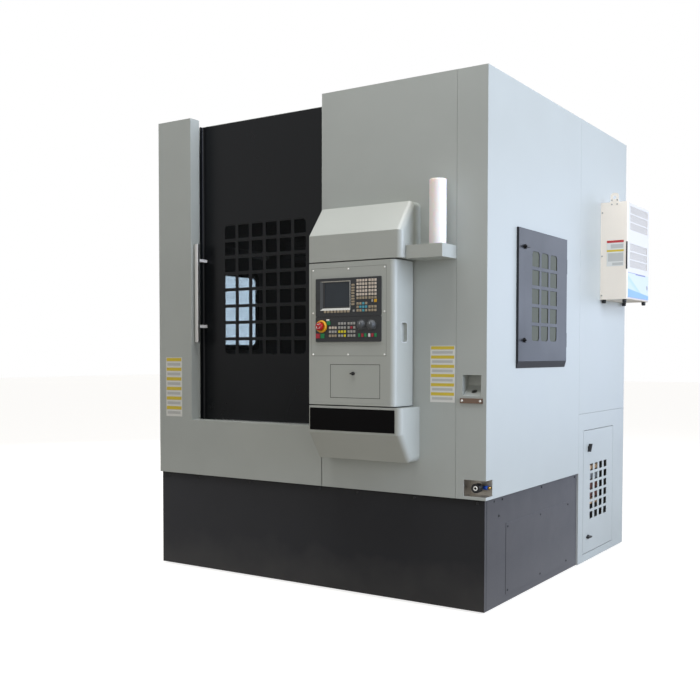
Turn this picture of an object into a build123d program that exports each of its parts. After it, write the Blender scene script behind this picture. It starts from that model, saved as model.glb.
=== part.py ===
from build123d import *
import os
from math import cos, pi, radians, sin

# A vertical turning lathe in its sheet-metal enclosure. Millimetres, +Z up, front towards -Y.
# The origin is on the floor, under the middle of the whole outline.

os.makedirs("parts", exist_ok=True)

# Enclosure
body_w = 2100
body_d = 2150
body_h = 2600
sheet_t = 3
seam = 1
flange_d = 30
overrun = 5
plinth_h = 547
plinth_inset = 10
floor_gap = 8
post_w = 250
post_return_d = 76
sill_h = 316
sill_shelf_d = 90
tray_w = 193
corner_w = 160
cabinet_d_share = 0.4
electrics_split_z = 892
roof_drop = 6

# Left wall window
left_window_w = 353
left_window_h = 460
left_window_y = 575
left_window_z = 1297
left_window_r = 40
window_lap = 25
glass_t = 6

# Sliding door and its tracks
door_set = 102
door_nose_d = 24
door_bend_r = 12
door_side_gap = 3
door_top_drop = 37
door_foot_gap = 3
door_lap = 40
door_fold_d = 30
grid_cols = 6
grid_rows = 8
grid_pitch_x_share = 0.108
grid_pitch_z = 94
grid_open_x_share = 0.775
grid_open = 76
grid_mid_z = 1614
grid_corner_r = 22
handle_w = 26
handle_t = 18
handle_l = 570
handle_front = 18
handle_mid_z = 1596
handle_edge_r = 3
handle_in = 6
standoff_size = 16
standoff_pitch = 380
track_lip_h = 40
track_gap = 14
beam_h = 60
beam_d = 50
rail_bar_t = 6
rail_bar_h = 50
rail_bar_rise = 20
rail_top_drop = 100
roller_r = 25
roller_w = 14
roller_groove = 3
hanger_t = 6
hanger_w = 80
hanger_inset = 120
stud_r = 6
seat_gap = 0.3

# Control stack: hood, swivelling box and lower cover
stack_in = 53
stack_w = 533
stack_d = 187
stack_edge_r = 28
hood_z = 1705
hood_h = 282
hood_front_h = 133
hood_ledge_d = 68
cover_top_z = 985
cover_h = 273
cover_front_h = 133
cover_ledge_d = 90
box_w = 498
box_back_gap = 10
box_gap = 6
box_wall = 3
box_front_wall = 6
pivot_inset = 18
pivot_r = 8
pivot_collar_r = 15
pivot_depth = 20
run_gap = 0.05
plate_w = 434
plate_h = 436
plate_in = 16
plate_top_drop = 27
plate_gap = 0.5
plate_ledge = 14
grip_w = 58
grip_h = 93
grip_d = 19
grip_back = 67
grip_mid_z = 1350
grip_wall = 2
grip_corner_r = 14

# Display unit, machine panel and their keys
unit_w = 380
unit_in = 44
unit_proud = 7
unit_edge_r = 3
display_h = 187
display_drop = 52
panel_h = 124
unit_gap = 4
screen_w = 145
screen_h = 120
screen_in = 55
screen_up = 46
screen_recess = 4
screen_t = 2
key = 12
key_proud = 2
key_pitch = 16.3
key_row_pitch = 17
soft_key_w = 14
soft_key_pitch = 19.6
soft_key_in = 51
soft_key_up = 16
side_key_w = 18
side_key_h = 9
side_key_in = 213
side_key_up = 51
side_key_pitch = 13.5
text_block_in = 243
text_block_gap = 68.5
text_block_top = 10.5
text_cols = 4
right_text_cols = 3
text_rows = 6
cursor_up = 18.5
cursor_rows = 3
machine_block_in = 81.5
machine_block_pitch = 55
machine_block_up = 24
machine_block_rows = (3, 4, 4)
machine_cols = 3
machine_row_pitch = 20
switch_key_h = 17
switch_row_up = 23
switch_pitch = 17.5
switch_pairs_in = (253, 310)

# Emergency stop and override knobs
estop_in = 38
estop_up = 77
estop_plate_r = 30
estop_plate_t = 4
estop_stem_r = 11
estop_head_r = 20
estop_reach = 34
estop_head_h = 18
estop_tail = 12
estop_dome_r = 6
knob_in = 271
knob_pitch = 58
knob_up = 81
knob_r = 18
knob_skirt_r = 23
knob_skirt_h = 4
knob_h = 20
knob_stem_r = 4
knob_wing_share = 0.42

# Pocket behind the flap in the control box
flap_in = 130
flap_w = 284
flap_h = 162
flap_up = 38
flap_gap = 1.5
flap_t = 1.5
flap_fold = 12
flap_pivot_up = 5.5
flap_pivot_in = 3.2
flap_pin_r = 1.5
flap_ear_w = 8
flap_ear_h = 14
latch_drop = 43
latch_r = 9
latch_h = 12
latch_stem_r = 4
latch_wing_l = 26
latch_wing_t = 7

# Lamp tray and lamp
tray_gap = 3
tray_d = 149
tray_z = 1701
tray_h = 63
lamp_in = 62
lamp_set = 75
lamp_r = 41
lamp_h = 371
lamp_foot_r = 44
lamp_foot_h = 18
lamp_edge_r = 4

# Air-gun pocket and air coupling in the corner panel
gun_w = 95
gun_h = 101
gun_d = 70
gun_edge = 29
gun_z = 1043
gun_slope = 26
gun_hole_r = 17
gun_bar_w = 116
gun_bar_h = 24
gun_bar_t = 8
gun_bar_drop = 10
air_w = 115
air_d = 75
air_h = 79
air_up = 15
coupling_r = 22
coupling_l = 38
coupling_nose_r = 12
coupling_nose_l = 34
coupling_set = 45

# Right inspection door
side_door_y = 348
side_door_rear_in = 257
side_door_z = 1173
side_door_h = 706
side_door_proud = 13
side_door_t = 3
side_door_lip = 13
side_band_h = 35
side_cols = 3
side_rows = 5
side_open_w_share = 0.772
side_open_h = 78
side_pitch_y_share = 0.1854
side_pitch_z = 96
side_mid_y_share = 0.5153
side_mid_z = 1543
side_corner_r = 20
hinge_r = 2.5
hinge_barrel_r = 5
hinge_l = 40
hinge_inset = 110
hinge_out = 6.5
hinge_leaf_t = 3
hinge_gap = 2
wing_in = 82
wing_upper_z = 1788
wing_lower_z = 1315
wing_r = 12
wing_h = 8
wing_l = 52
wing_t = 9
wing_rise = 12
wing_stem_r = 6
wing_stem_l = 14
wing_deg = 0
vent_wing_deg = 60

# Vented electrics door
vent_door_in = 86
vent_rear_in = 221
vent_door_z = 56
vent_door_h = 733
vent_gap = 3
vent_fold = 15
vent_pivot_in = 8
vent_pivot_deep = 8
vent_pin_r = 3
vent_ear = 16
vent_cols = 4
vent_rows = 6
vent_open_w_share = 0.651
vent_open_h = 42
vent_pitch_y_share = 0.1555
vent_pitch_z = 58
vent_mid_y_share = 0.499
vent_mid_z = 418
vent_latch_in = 86
vent_latch_upper_z = 685
vent_latch_lower_z = 149

# Electrics
partition_in = 490
board_t = 3
board_off = 77
board_margin = 60
board_z = 160
board_top_in = 200
post_r = 12
module_rows = 5
module_gap = 30
module_row_gap = 148
module_d = 190
module_width_shares = (0.2, 0.14, 0.14, 0.3)
module_depth_shares = (1.0, 0.7, 0.85, 0.55)

# Air conditioner
ac_d = 164
ac_w = 457
ac_h = 586
ac_rear_in = 43
ac_top_in = 437
ac_edge_r = 8
ac_wall = 4
louvre_w = 366
louvre_h = 43
louvre_pitch = 50
louvre_count = 3
louvre_ups = (190, 415)
eye_w = 50
eye_h = 55
eye_t = 4
eye_r = 20
eye_hole_r = 11

# Base, feet and column
base_z = 60
base_h = 660
base_left = 150
base_front = 120
base_past_spindle = 496
base_right_in = 520
base_front_d = 880
base_rear_in = 400
base_wall = 60
base_deck = 80
foot_r = 55
foot_h = 20
foot_stem_r = 18
column_left = 400
column_y = 1060
column_rear_in = 450
column_clear = 191
column_wall = 60
column_front_wall = 90
column_rib = 50

# Spindle, chuck and drive
spindle_y = 600
housing_r = 190
housing_flange_r = 260
housing_flange_t = 40
housing_nose_r = 200
housing_nose_h = 90
housing_foot_z = 300
journal_r = 110
spindle_nose_r = 190
spindle_nose_t = 25
spindle_lift = 5
spindle_tail_r = 60
pulley_z = 190
pulley_h = 80
spindle_pulley_r = 180
motor_pulley_r = 90
belt_t = 12
belt_w = 70
chuck_r = 315
chuck_h = 120
chuck_edge_r = 8
chuck_bore_r = 60
jaw_count = 3
jaw_w = 70
jaw_l = 150
jaw_h = 80
jaw_step_l = 60
jaw_step_h = 40
jaw_in = 115
jaw_tongue_w = 40
jaw_tongue_h = 26
jaw_gap = 0.3
jaw_slot_in = 90
motor_out = 695
motor_size = 260
motor_h = 380
motor_corner_r = 32
motor_cap_r = 120
motor_cap_h = 45
motor_shaft_r = 24
motor_shaft_in = 120
bracket_t = 20
bracket_z = 280
belt_window_w = 340
belt_window_z = 160
belt_window_h = 120
pan_rim_h = 90

# Cross slide, ram and turret
turret_in = 281
x_rail_top_in = 200
x_rail_pitch = 550
rail_size = 40
rail_gap = 0.5
saddle_w = 460
saddle_over = 100
saddle_t = 70
carriage_l = 100
carriage_h = 90
carriage_set = 180
screw_r = 18
nut_w = 90
nut_h = 60
ram_nut_up = 420
bearing_w = 60
servo_size = 130
servo_l = 190
ram_w = 260
ram_d = 190
ram_up = 10
ram_clear = 31
ram_front_y = 700
z_rail_pitch = 180
z_rail_size = 35
z_block_ups = (40, 280)
z_block_h = 100
z_block_w = 70
ram_flange_r = 120
spigot_r = 60
spigot_l = 140
turret_up = 140
turret_r = 200
turret_t = 130
turret_front_y = 535
turret_cap_r = 95
turret_cap_t = 12
tool_count = 8
tool_block_w = 74
tool_block_h = 40
tool_bar_r = 16
tool_tip_r = 300

# Places worked out from the sizes above
stack_reach = stack_d + unit_proud + estop_reach
left_x = -(body_w + ac_d) / 2
right_x = left_x + body_w
front_y = (stack_reach - body_d) / 2
rear_y = front_y + body_d
post_x = left_x + post_w
corner_x = right_x - corner_w
cab_x = corner_x - stack_in - stack_w - tray_gap - tray_w
doorway_w = cab_x - post_x
door_mid_x = (post_x + cab_x) / 2
sill_z = plinth_h + sill_h
side_d = body_d * (1 - cabinet_d_share)
side_y = front_y + side_d
inner_left = left_x + sheet_t
inner_right = right_x - sheet_t
inner_rear = rear_y - sheet_t
partition_x = right_x - partition_in
stack_x = cab_x + stack_in
stack_face = front_y - stack_d
unit_face = stack_face - unit_proud
spindle_x = door_mid_x
spindle_mid = (spindle_x, front_y + spindle_y)
base_top = base_z + base_h
roof_z = body_h - roof_drop - sheet_t

front_plane = Plane(origin=(0, front_y, 0), x_dir=(1, 0, 0), z_dir=(0, -1, 0))
side_plane = Plane(origin=(right_x, 0, 0), x_dir=(0, 1, 0), z_dir=(1, 0, 0))
section_plane = Plane.YZ


def field(x0, x1, z0, z1, radius=0, mode=Mode.ADD):
    """A rectangle between its edges in the open sketch, with rounded corners if a radius is given."""
    with Locations(((x0 + x1) / 2, (z0 + z1) / 2)):
        if radius:
            RectangleRounded(x1 - x0, z1 - z0, radius, mode=mode)
        else:
            Rectangle(x1 - x0, z1 - z0, mode=mode)


def block(x0, x1, y0, y1, z0, z1, mode=Mode.ADD):
    """A block between its faces in the open part."""
    with Locations(((x0 + x1) / 2, (y0 + y1) / 2, (z0 + z1) / 2)):
        Box(x1 - x0, y1 - y0, z1 - z0, mode=mode)


def folded(points, radius):
    """The section of a bent sheet: its outer line, thickened to the left of its run."""
    with BuildLine(Plane.XY) as outline:
        FilletPolyline(*points, radius=radius)
        offset(amount=sheet_t, side=Side.LEFT)
    make_face(outline.edges())


def post_at(x, y, z, radius, length, direction, mode=Mode.ADD):
    """A round bar that starts at a point and runs along a direction in the open part."""
    with BuildSketch(Plane(origin=(x, y, z), z_dir=direction), mode=Mode.PRIVATE) as disc:
        Circle(radius)
    extrude(disc.sketch, amount=length, mode=mode)


def keep(builder, name):
    """Labels a finished piece and writes it to its own file."""
    builder.part.label = name
    export_step(builder.part, "parts/" + name + ".step")


def keep_apart(name, *builders):
    """Writes the solids of several builders to one file, without fusing those that touch."""
    solids = [solid for builder in builders for solid in builder.part.solids()]
    export_step(Compound(label=name, children=solids), "parts/" + name + ".step")


def cut_across(plane, offsets):
    """Cuts the open part through at each offset of a plane, and keeps both sides."""
    for distance in offsets:
        split(bisect_by=plane.offset(distance), keep=Keep.BOTH)


# Plinth: three black panels set in under the enclosure
plinth_front = front_y + plinth_inset
plinth_left = left_x + plinth_inset
plinth_right = right_x - plinth_inset
with BuildPart() as plinth_panels:
    block(plinth_left, plinth_right, plinth_front, plinth_front + sheet_t, floor_gap, plinth_h)
    block(plinth_right - sheet_t, plinth_right, plinth_front + sheet_t, side_y - seam, floor_gap, plinth_h)
    block(plinth_left, plinth_left + sheet_t, plinth_front + sheet_t, inner_rear, floor_gap, plinth_h)
keep(plinth_panels, "plinth_panels")

# Left post and sill: one folded sheet around the doorway's left and lower sides
with BuildPart() as left_front_frame:
    with BuildSketch(front_plane):
        field(left_x, post_x, plinth_h, body_h)
        field(left_x, cab_x, plinth_h, sill_z)
    extrude(amount=-sheet_t)
    block(post_x - sheet_t, post_x, front_y + sheet_t, front_y + post_return_d, sill_z, body_h)
    block(post_x - sheet_t, cab_x, front_y + sheet_t, front_y + sill_shelf_d, sill_z - sheet_t, sill_z)
    block(inner_left, cab_x, front_y + sheet_t, front_y + flange_d, plinth_h, plinth_h + sheet_t)
keep(left_front_frame, "left_front_frame")

# Left wall with its window, and the pane behind the opening
window_y0 = front_y + left_window_y
window_y1 = window_y0 + left_window_w
window_z1 = left_window_z + left_window_h
with BuildPart() as left_wall:
    with BuildSketch(side_plane.offset(-body_w)):
        field(front_y + sheet_t, inner_rear, plinth_h, body_h)
        field(window_y0, window_y1, left_window_z, window_z1, left_window_r, Mode.SUBTRACT)
    extrude(amount=sheet_t)
    block(inner_left, inner_left + flange_d, front_y + flange_d, inner_rear, plinth_h, plinth_h + sheet_t)
keep(left_wall, "left_wall")

with BuildPart() as left_window_glass:
    with BuildSketch(side_plane.offset(sheet_t - body_w)):
        field(
            window_y0 - window_lap, window_y1 + window_lap,
            left_window_z - window_lap, window_z1 + window_lap, left_window_r,
        )
    extrude(amount=glass_t)
keep(left_window_glass, "left_window_glass")

# Tall cabinet front: its left edge folds back beside the door
with BuildPart() as cabinet_front:
    with BuildSketch(Plane.XY.offset(plinth_h)):
        folded(
            [
                (cab_x, front_y + sill_shelf_d),
                (cab_x, front_y),
                (corner_x, front_y),
            ],
            sheet_t + overrun,
        )
    extrude(amount=body_h - plinth_h)
    block(
        cab_x + flange_d, corner_x, front_y + sheet_t, front_y + flange_d,
        plinth_h, plinth_h + sheet_t,
    )
    block(
        cab_x - overrun, cab_x + flange_d, front_y + sheet_t, front_y + sill_shelf_d + overrun,
        plinth_h, sill_z, mode=Mode.SUBTRACT,
    )
keep(cabinet_front, "cabinet_front")

# Corner panel with its two pocket cut-outs
gun_x1 = right_x - gun_edge
gun_x0 = gun_x1 - gun_w
air_x0 = right_x - air_w
air_z = plinth_h + air_up
with BuildPart() as corner_panel:
    with BuildSketch(front_plane):
        field(corner_x + seam, right_x, plinth_h, body_h)
        field(gun_x0, gun_x1, gun_z, gun_z + gun_h, mode=Mode.SUBTRACT)
        field(air_x0, right_x, air_z, air_z + air_h, mode=Mode.SUBTRACT)
    extrude(amount=-sheet_t)
    block(
        corner_x + seam, inner_right, front_y + sheet_t, front_y + flange_d,
        plinth_h, plinth_h + sheet_t,
    )
    cut_across(Plane.XY, (air_z, air_z + air_h, gun_z, gun_z + gun_h))
keep(corner_panel, "corner_panel")

# Pockets behind the corner panel: a sloped one for the air gun and an open one for the coupling
gun_back = front_y + gun_d
with BuildPart() as corner_pockets:
    with BuildSketch(section_plane.offset(gun_x0 - sheet_t)):
        with BuildLine():
            Polyline(
                (front_y + sheet_t, gun_z - sheet_t),
                (gun_back, gun_z - gun_slope - sheet_t),
                (gun_back, gun_z + gun_h + sheet_t),
                (front_y + sheet_t, gun_z + gun_h + sheet_t),
                close=True,
            )
        make_face()
    extrude(amount=gun_w + 2 * sheet_t)
    with BuildSketch(section_plane.offset(gun_x0)):
        with BuildLine():
            Polyline(
                (front_y, gun_z),
                (gun_back - sheet_t, gun_z - gun_slope),
                (gun_back - sheet_t, gun_z + gun_h),
                (front_y, gun_z + gun_h),
                close=True,
            )
        make_face()
    extrude(amount=gun_w, mode=Mode.SUBTRACT)
    post_at(
        (gun_x0 + gun_x1) / 2, front_y + gun_d / 2, gun_z + overrun,
        gun_hole_r, gun_slope + 2 * overrun, (0, 0, -1), Mode.SUBTRACT,
    )
    block(
        gun_x0 - (gun_bar_w - gun_w) / 2, gun_x1 + (gun_bar_w - gun_w) / 2, front_y - gun_bar_t, front_y,
        gun_z - gun_bar_drop - gun_bar_h, gun_z - gun_bar_drop,
    )
    block(
        air_x0 - sheet_t, inner_right, front_y + sheet_t, front_y + air_d + sheet_t,
        air_z - sheet_t, air_z + air_h + sheet_t,
    )
    block(
        air_x0, right_x, front_y, front_y + air_d, air_z, air_z + air_h, mode=Mode.SUBTRACT,
    )
keep(corner_pockets, "corner_pockets")

with BuildPart() as air_coupling:
    coupling_x = air_x0 + air_w / 2
    coupling_z = air_z + air_h / 2
    post_at(coupling_x, front_y + air_d, coupling_z, coupling_nose_r, coupling_nose_l, (0, -1, 0))
    post_at(coupling_x, front_y + coupling_set, coupling_z, coupling_r, coupling_l, (0, -1, 0))
    post_at(
        coupling_x, front_y + coupling_set - coupling_l, coupling_z,
        coupling_nose_r / 2, coupling_l, (0, 1, 0), Mode.SUBTRACT,
    )
keep(air_coupling, "air_coupling")

# Right side: the panel with the inspection doorway
side_door_w = side_d - side_door_y - side_door_rear_in
side_y0 = front_y + side_door_y
side_y1 = side_y0 + side_door_w
side_z1 = side_door_z + side_door_h
with BuildPart() as right_side_panel:
    with BuildSketch(side_plane):
        field(front_y + sheet_t, side_y - seam, plinth_h, body_h)
        field(
            side_y0 + side_door_lip, side_y1 - side_door_lip,
            side_door_z + side_door_lip, side_z1 - side_door_lip, mode=Mode.SUBTRACT,
        )
        field(front_y, front_y + air_d, air_z, air_z + air_h, mode=Mode.SUBTRACT)
    extrude(amount=-sheet_t)
    block(
        inner_right - flange_d, inner_right, front_y + air_d + flange_d, side_y - seam,
        plinth_h, plinth_h + sheet_t,
    )
    doorway_edges = (side_door_z + side_door_lip, side_z1 - side_door_lip)
    cut_across(Plane.XY, (air_z, air_z + air_h, *doorway_edges))
keep(right_side_panel, "right_side_panel")

# Electrics cabinet at the rear right: upper panel, lower panel with its doorway, inner walls
vent_y0 = side_y + vent_door_in
vent_y1 = rear_y - vent_rear_in
vent_door_w = vent_y1 - vent_y0
vent_z1 = vent_door_z + vent_door_h
vent_pivot_y = vent_y1 - vent_pivot_in
vent_pivot_x = right_x - vent_pivot_deep
with BuildPart() as electrics_upper_panel:
    with BuildSketch(side_plane):
        field(side_y, inner_rear, electrics_split_z + seam, body_h)
    extrude(amount=-sheet_t)
keep(electrics_upper_panel, "electrics_upper_panel")

with BuildPart() as electrics_lower_panel:
    with BuildSketch(side_plane):
        field(side_y, inner_rear, floor_gap, electrics_split_z)
        field(
            vent_y0 - vent_gap, vent_y1 + vent_gap,
            vent_door_z - vent_gap, vent_z1 + vent_gap, mode=Mode.SUBTRACT,
        )
    extrude(amount=-sheet_t)
    for ear_z in (vent_door_z - vent_gap - vent_ear, vent_z1 + vent_gap):
        block(
            vent_pivot_x - vent_ear / 2, inner_right, vent_pivot_y - vent_ear / 2,
            vent_pivot_y + vent_ear / 2, ear_z, ear_z + vent_ear,
        )
keep(electrics_lower_panel, "electrics_lower_panel")

with BuildPart() as electrics_partition:
    with BuildSketch(Plane.XY.offset(floor_gap)):
        folded(
            [(partition_x, inner_rear), (partition_x, side_y), (inner_right, side_y)],
            sheet_t + overrun,
        )
    extrude(amount=roof_z - floor_gap)
keep(electrics_partition, "electrics_partition")

board_x = partition_x + board_off
board_y0 = side_y + board_margin
board_y1 = inner_rear - board_margin
board_h = body_h - board_top_in - board_z
row_pitch = board_h / module_rows
module_h = row_pitch - module_row_gap
with BuildPart() as board_plate:
    block(board_x, board_x + board_t, board_y0, board_y1, board_z, board_z + board_h)
with BuildPart() as board_modules:
    for post_y in (board_y0 + post_r, board_y1 - post_r):
        for post_z in (board_z + post_r, board_z + board_h - post_r):
            post_at(partition_x + sheet_t, post_y, post_z, post_r, board_off - sheet_t, (1, 0, 0))
    for row in range(module_rows):
        module_z = board_z + row * row_pitch + (row_pitch - module_h) / 2
        module_y = board_y0 + module_gap
        for width_share, depth_share in zip(module_width_shares, module_depth_shares):
            module_w = width_share * (board_y1 - board_y0)
            module_x1 = board_x + board_t + module_d * depth_share
            block(
                board_x + board_t, module_x1, module_y, module_y + module_w,
                module_z, module_z + module_h,
            )
            module_y += module_w + module_gap
keep_apart("electrics_board", board_plate, board_modules)

# Rear wall and roof close the enclosure
with BuildPart() as rear_wall:
    with BuildSketch(front_plane.offset(-body_d)):
        field(left_x, right_x, floor_gap, body_h)
    extrude(amount=sheet_t)
    block(
        inner_left + flange_d, partition_x, inner_rear - flange_d, inner_rear,
        floor_gap, floor_gap + sheet_t,
    )
keep(rear_wall, "rear_wall")

door_face = front_y + door_set
door_back = door_face + door_fold_d
track_y = door_back + track_gap
rail_top_z = body_h - rail_top_drop
with BuildPart() as roof_panel:
    block(
        inner_left, inner_right, track_y + beam_d, inner_rear, roof_z, roof_z + sheet_t,
    )
    block(
        inner_left, inner_right, track_y + beam_d, track_y + beam_d + sheet_t,
        rail_top_z - rail_bar_rise - beam_h, roof_z + sheet_t,
    )
keep(roof_panel, "roof_panel")

# Door tracks: a guide channel behind the sill and a rail on a beam above
beam_z0 = rail_top_z - rail_bar_rise - beam_h
with BuildPart() as door_tracks:
    block(
        inner_left, inner_right, front_y + sill_shelf_d - flange_d, track_y + sheet_t,
        sill_z - 2 * sheet_t, sill_z - sheet_t,
    )
    block(inner_left, inner_right, track_y, track_y + sheet_t, sill_z - sheet_t, sill_z + track_lip_h)
    block(inner_left, inner_right, track_y, track_y + beam_d, beam_z0, beam_z0 + beam_h)
    block(
        inner_left, inner_right, track_y + sheet_t, track_y + beam_d - sheet_t,
        beam_z0 + sheet_t, beam_z0 + beam_h - sheet_t, mode=Mode.SUBTRACT,
    )
    block(inner_left, inner_right, track_y - rail_bar_t, track_y, rail_top_z - rail_bar_h, rail_top_z)
    cut_across(Plane.XY, [sill_z - sheet_t])
    cut_across(front_plane, [front_y - track_y])
keep(door_tracks, "door_tracks")

# Sliding door: a folded sheet with a grid of window openings
door_x0 = post_x + door_side_gap
door_x1 = cab_x + door_lap
door_z0 = sill_z + door_foot_gap
door_z1 = body_h - door_top_drop
grid_pitch_x = grid_pitch_x_share * doorway_w
with BuildPart() as door_panel:
    with BuildSketch(Plane.XY.offset(door_z0)):
        folded(
            [
                (door_x0 + sheet_t, door_face - door_nose_d),
                (door_x0 + sheet_t, door_face),
                (door_x1, door_face),
                (door_x1, door_back),
            ],
            door_bend_r,
        )
    extrude(amount=door_z1 - door_z0)
    block(
        door_x0 + hanger_inset / 2, door_x1, door_face + sheet_t, door_back,
        door_z1 - sheet_t, door_z1,
    )
    with BuildSketch(front_plane.offset(-door_set)):
        with Locations((door_mid_x, grid_mid_z)):
            with GridLocations(grid_pitch_x, grid_pitch_z, grid_cols, grid_rows):
                Rectangle(grid_open_x_share * grid_pitch_x, grid_open)
        outer_columns = vertices().group_by(Axis.X)[0] + vertices().group_by(Axis.X)[-1]
        fillet(
            outer_columns.group_by(Axis.Y)[0] + outer_columns.group_by(Axis.Y)[-1], grid_corner_r,
        )
    extrude(amount=-(sheet_t + overrun), both=True, mode=Mode.SUBTRACT)
    cut_across(Plane.XY, [door_z1 - sheet_t])
    cut_across(Plane.YZ, [door_x0 + sheet_t + door_bend_r, door_x1 - door_bend_r])
    cut_across(front_plane, [door_bend_r - door_set])
keep(door_panel, "door_panel")

grid_half_w = (grid_cols * grid_pitch_x) / 2
grid_half_h = (grid_rows * grid_pitch_z) / 2
with BuildPart() as door_glass:
    with BuildSketch(front_plane.offset(-(door_set + sheet_t))):
        field(
            door_mid_x - grid_half_w - window_lap, door_mid_x + grid_half_w + window_lap,
            grid_mid_z - grid_half_h - window_lap, grid_mid_z + grid_half_h + window_lap, grid_corner_r,
        )
    extrude(amount=-glass_t)
keep(door_glass, "door_glass")

handle_x = door_x0 + handle_in + handle_w / 2
standoff_x = door_x0 + sheet_t + door_bend_r
handle_back = front_y + handle_front + handle_t
with BuildPart() as door_handle:
    with Locations((handle_x, handle_back - handle_t / 2, handle_mid_z)):
        Box(handle_w, handle_t, handle_l)
    fillet(door_handle.edges(), handle_edge_r)
    for end in (-1, 1):
        standoff_z = handle_mid_z + end * standoff_pitch / 2
        block(
            standoff_x, standoff_x + standoff_size, handle_back, door_face,
            standoff_z - standoff_size / 2, standoff_z + standoff_size / 2,
        )
keep(door_handle, "door_handle")

hanger_z = rail_top_z + roller_r + seat_gap - roller_groove
roller_y = track_y - rail_bar_t / 2
with BuildPart() as door_hangers:
    for hanger_x in (door_x0 + hanger_inset, door_x1 - hanger_inset):
        block(
            hanger_x - hanger_w / 2, hanger_x + hanger_w / 2, door_face + sheet_t,
            door_face + sheet_t + hanger_t, hanger_z - hanger_w, hanger_z + hanger_w / 2 - roller_groove,
        )
        post_at(
            hanger_x, door_face + sheet_t + hanger_t, hanger_z, stud_r,
            roller_y + roller_w - door_face - sheet_t - hanger_t, (0, 1, 0),
        )
        with BuildSketch(section_plane.offset(hanger_x)):
            with BuildLine():
                Polyline(
                    (roller_y - roller_w / 2, hanger_z),
                    (roller_y - roller_w / 2, hanger_z + roller_r),
                    (roller_y - rail_bar_t / 2 - seat_gap, hanger_z + roller_r),
                    (roller_y - rail_bar_t / 2 - seat_gap, hanger_z + roller_r - roller_groove),
                    (roller_y + rail_bar_t / 2 + seat_gap, hanger_z + roller_r - roller_groove),
                    (roller_y + rail_bar_t / 2 + seat_gap, hanger_z + roller_r),
                    (roller_y + roller_w / 2, hanger_z + roller_r),
                    (roller_y + roller_w / 2, hanger_z),
                    close=True,
                )
            make_face()
        revolve(axis=Axis((hanger_x, roller_y, hanger_z), (0, 1, 0)))
keep(door_hangers, "door_hangers")

# Control hood: a folded cover with a sloped top, its right edges rounded
stack_x1 = stack_x + stack_w
with BuildPart() as control_hood:
    with BuildSketch(section_plane.offset(stack_x)):
        with BuildLine():
            Polyline(
                (front_y, hood_z),
                (stack_face, hood_z),
                (stack_face, hood_z + hood_front_h),
                (front_y - hood_ledge_d, hood_z + hood_h),
                (front_y, hood_z + hood_h),
                close=True,
            )
        make_face()
    extrude(amount=stack_w)
    right_edges = control_hood.faces().sort_by(Axis.X)[-1].edges()
    outer_edges = right_edges.filter_by(lambda e: e.center().Y < front_y - seam)
    fillet(outer_edges.filter_by(lambda e: e.center().Z > hood_z + seam), stack_edge_r)
    offset(amount=-sheet_t, openings=control_hood.faces().sort_by(Axis.Y)[-1])
keep(control_hood, "control_hood")

# Lower cover: the same section turned over, under the swivelling box
with BuildPart() as control_base:
    with BuildSketch(section_plane.offset(stack_x)):
        with BuildLine():
            Polyline(
                (front_y, cover_top_z),
                (stack_face, cover_top_z),
                (stack_face, cover_top_z - cover_front_h),
                (front_y - cover_ledge_d, cover_top_z - cover_h),
                (front_y, cover_top_z - cover_h),
                close=True,
            )
        make_face()
    extrude(amount=stack_w)
    right_edges = control_base.faces().sort_by(Axis.X)[-1].edges()
    outer_edges = right_edges.filter_by(lambda e: e.center().Y < front_y - seam)
    fillet(outer_edges.filter_by(lambda e: e.center().Z < cover_top_z - seam), stack_edge_r)
    offset(amount=-sheet_t, openings=control_base.faces().sort_by(Axis.Y)[-1])
keep(control_base, "control_base")

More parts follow.
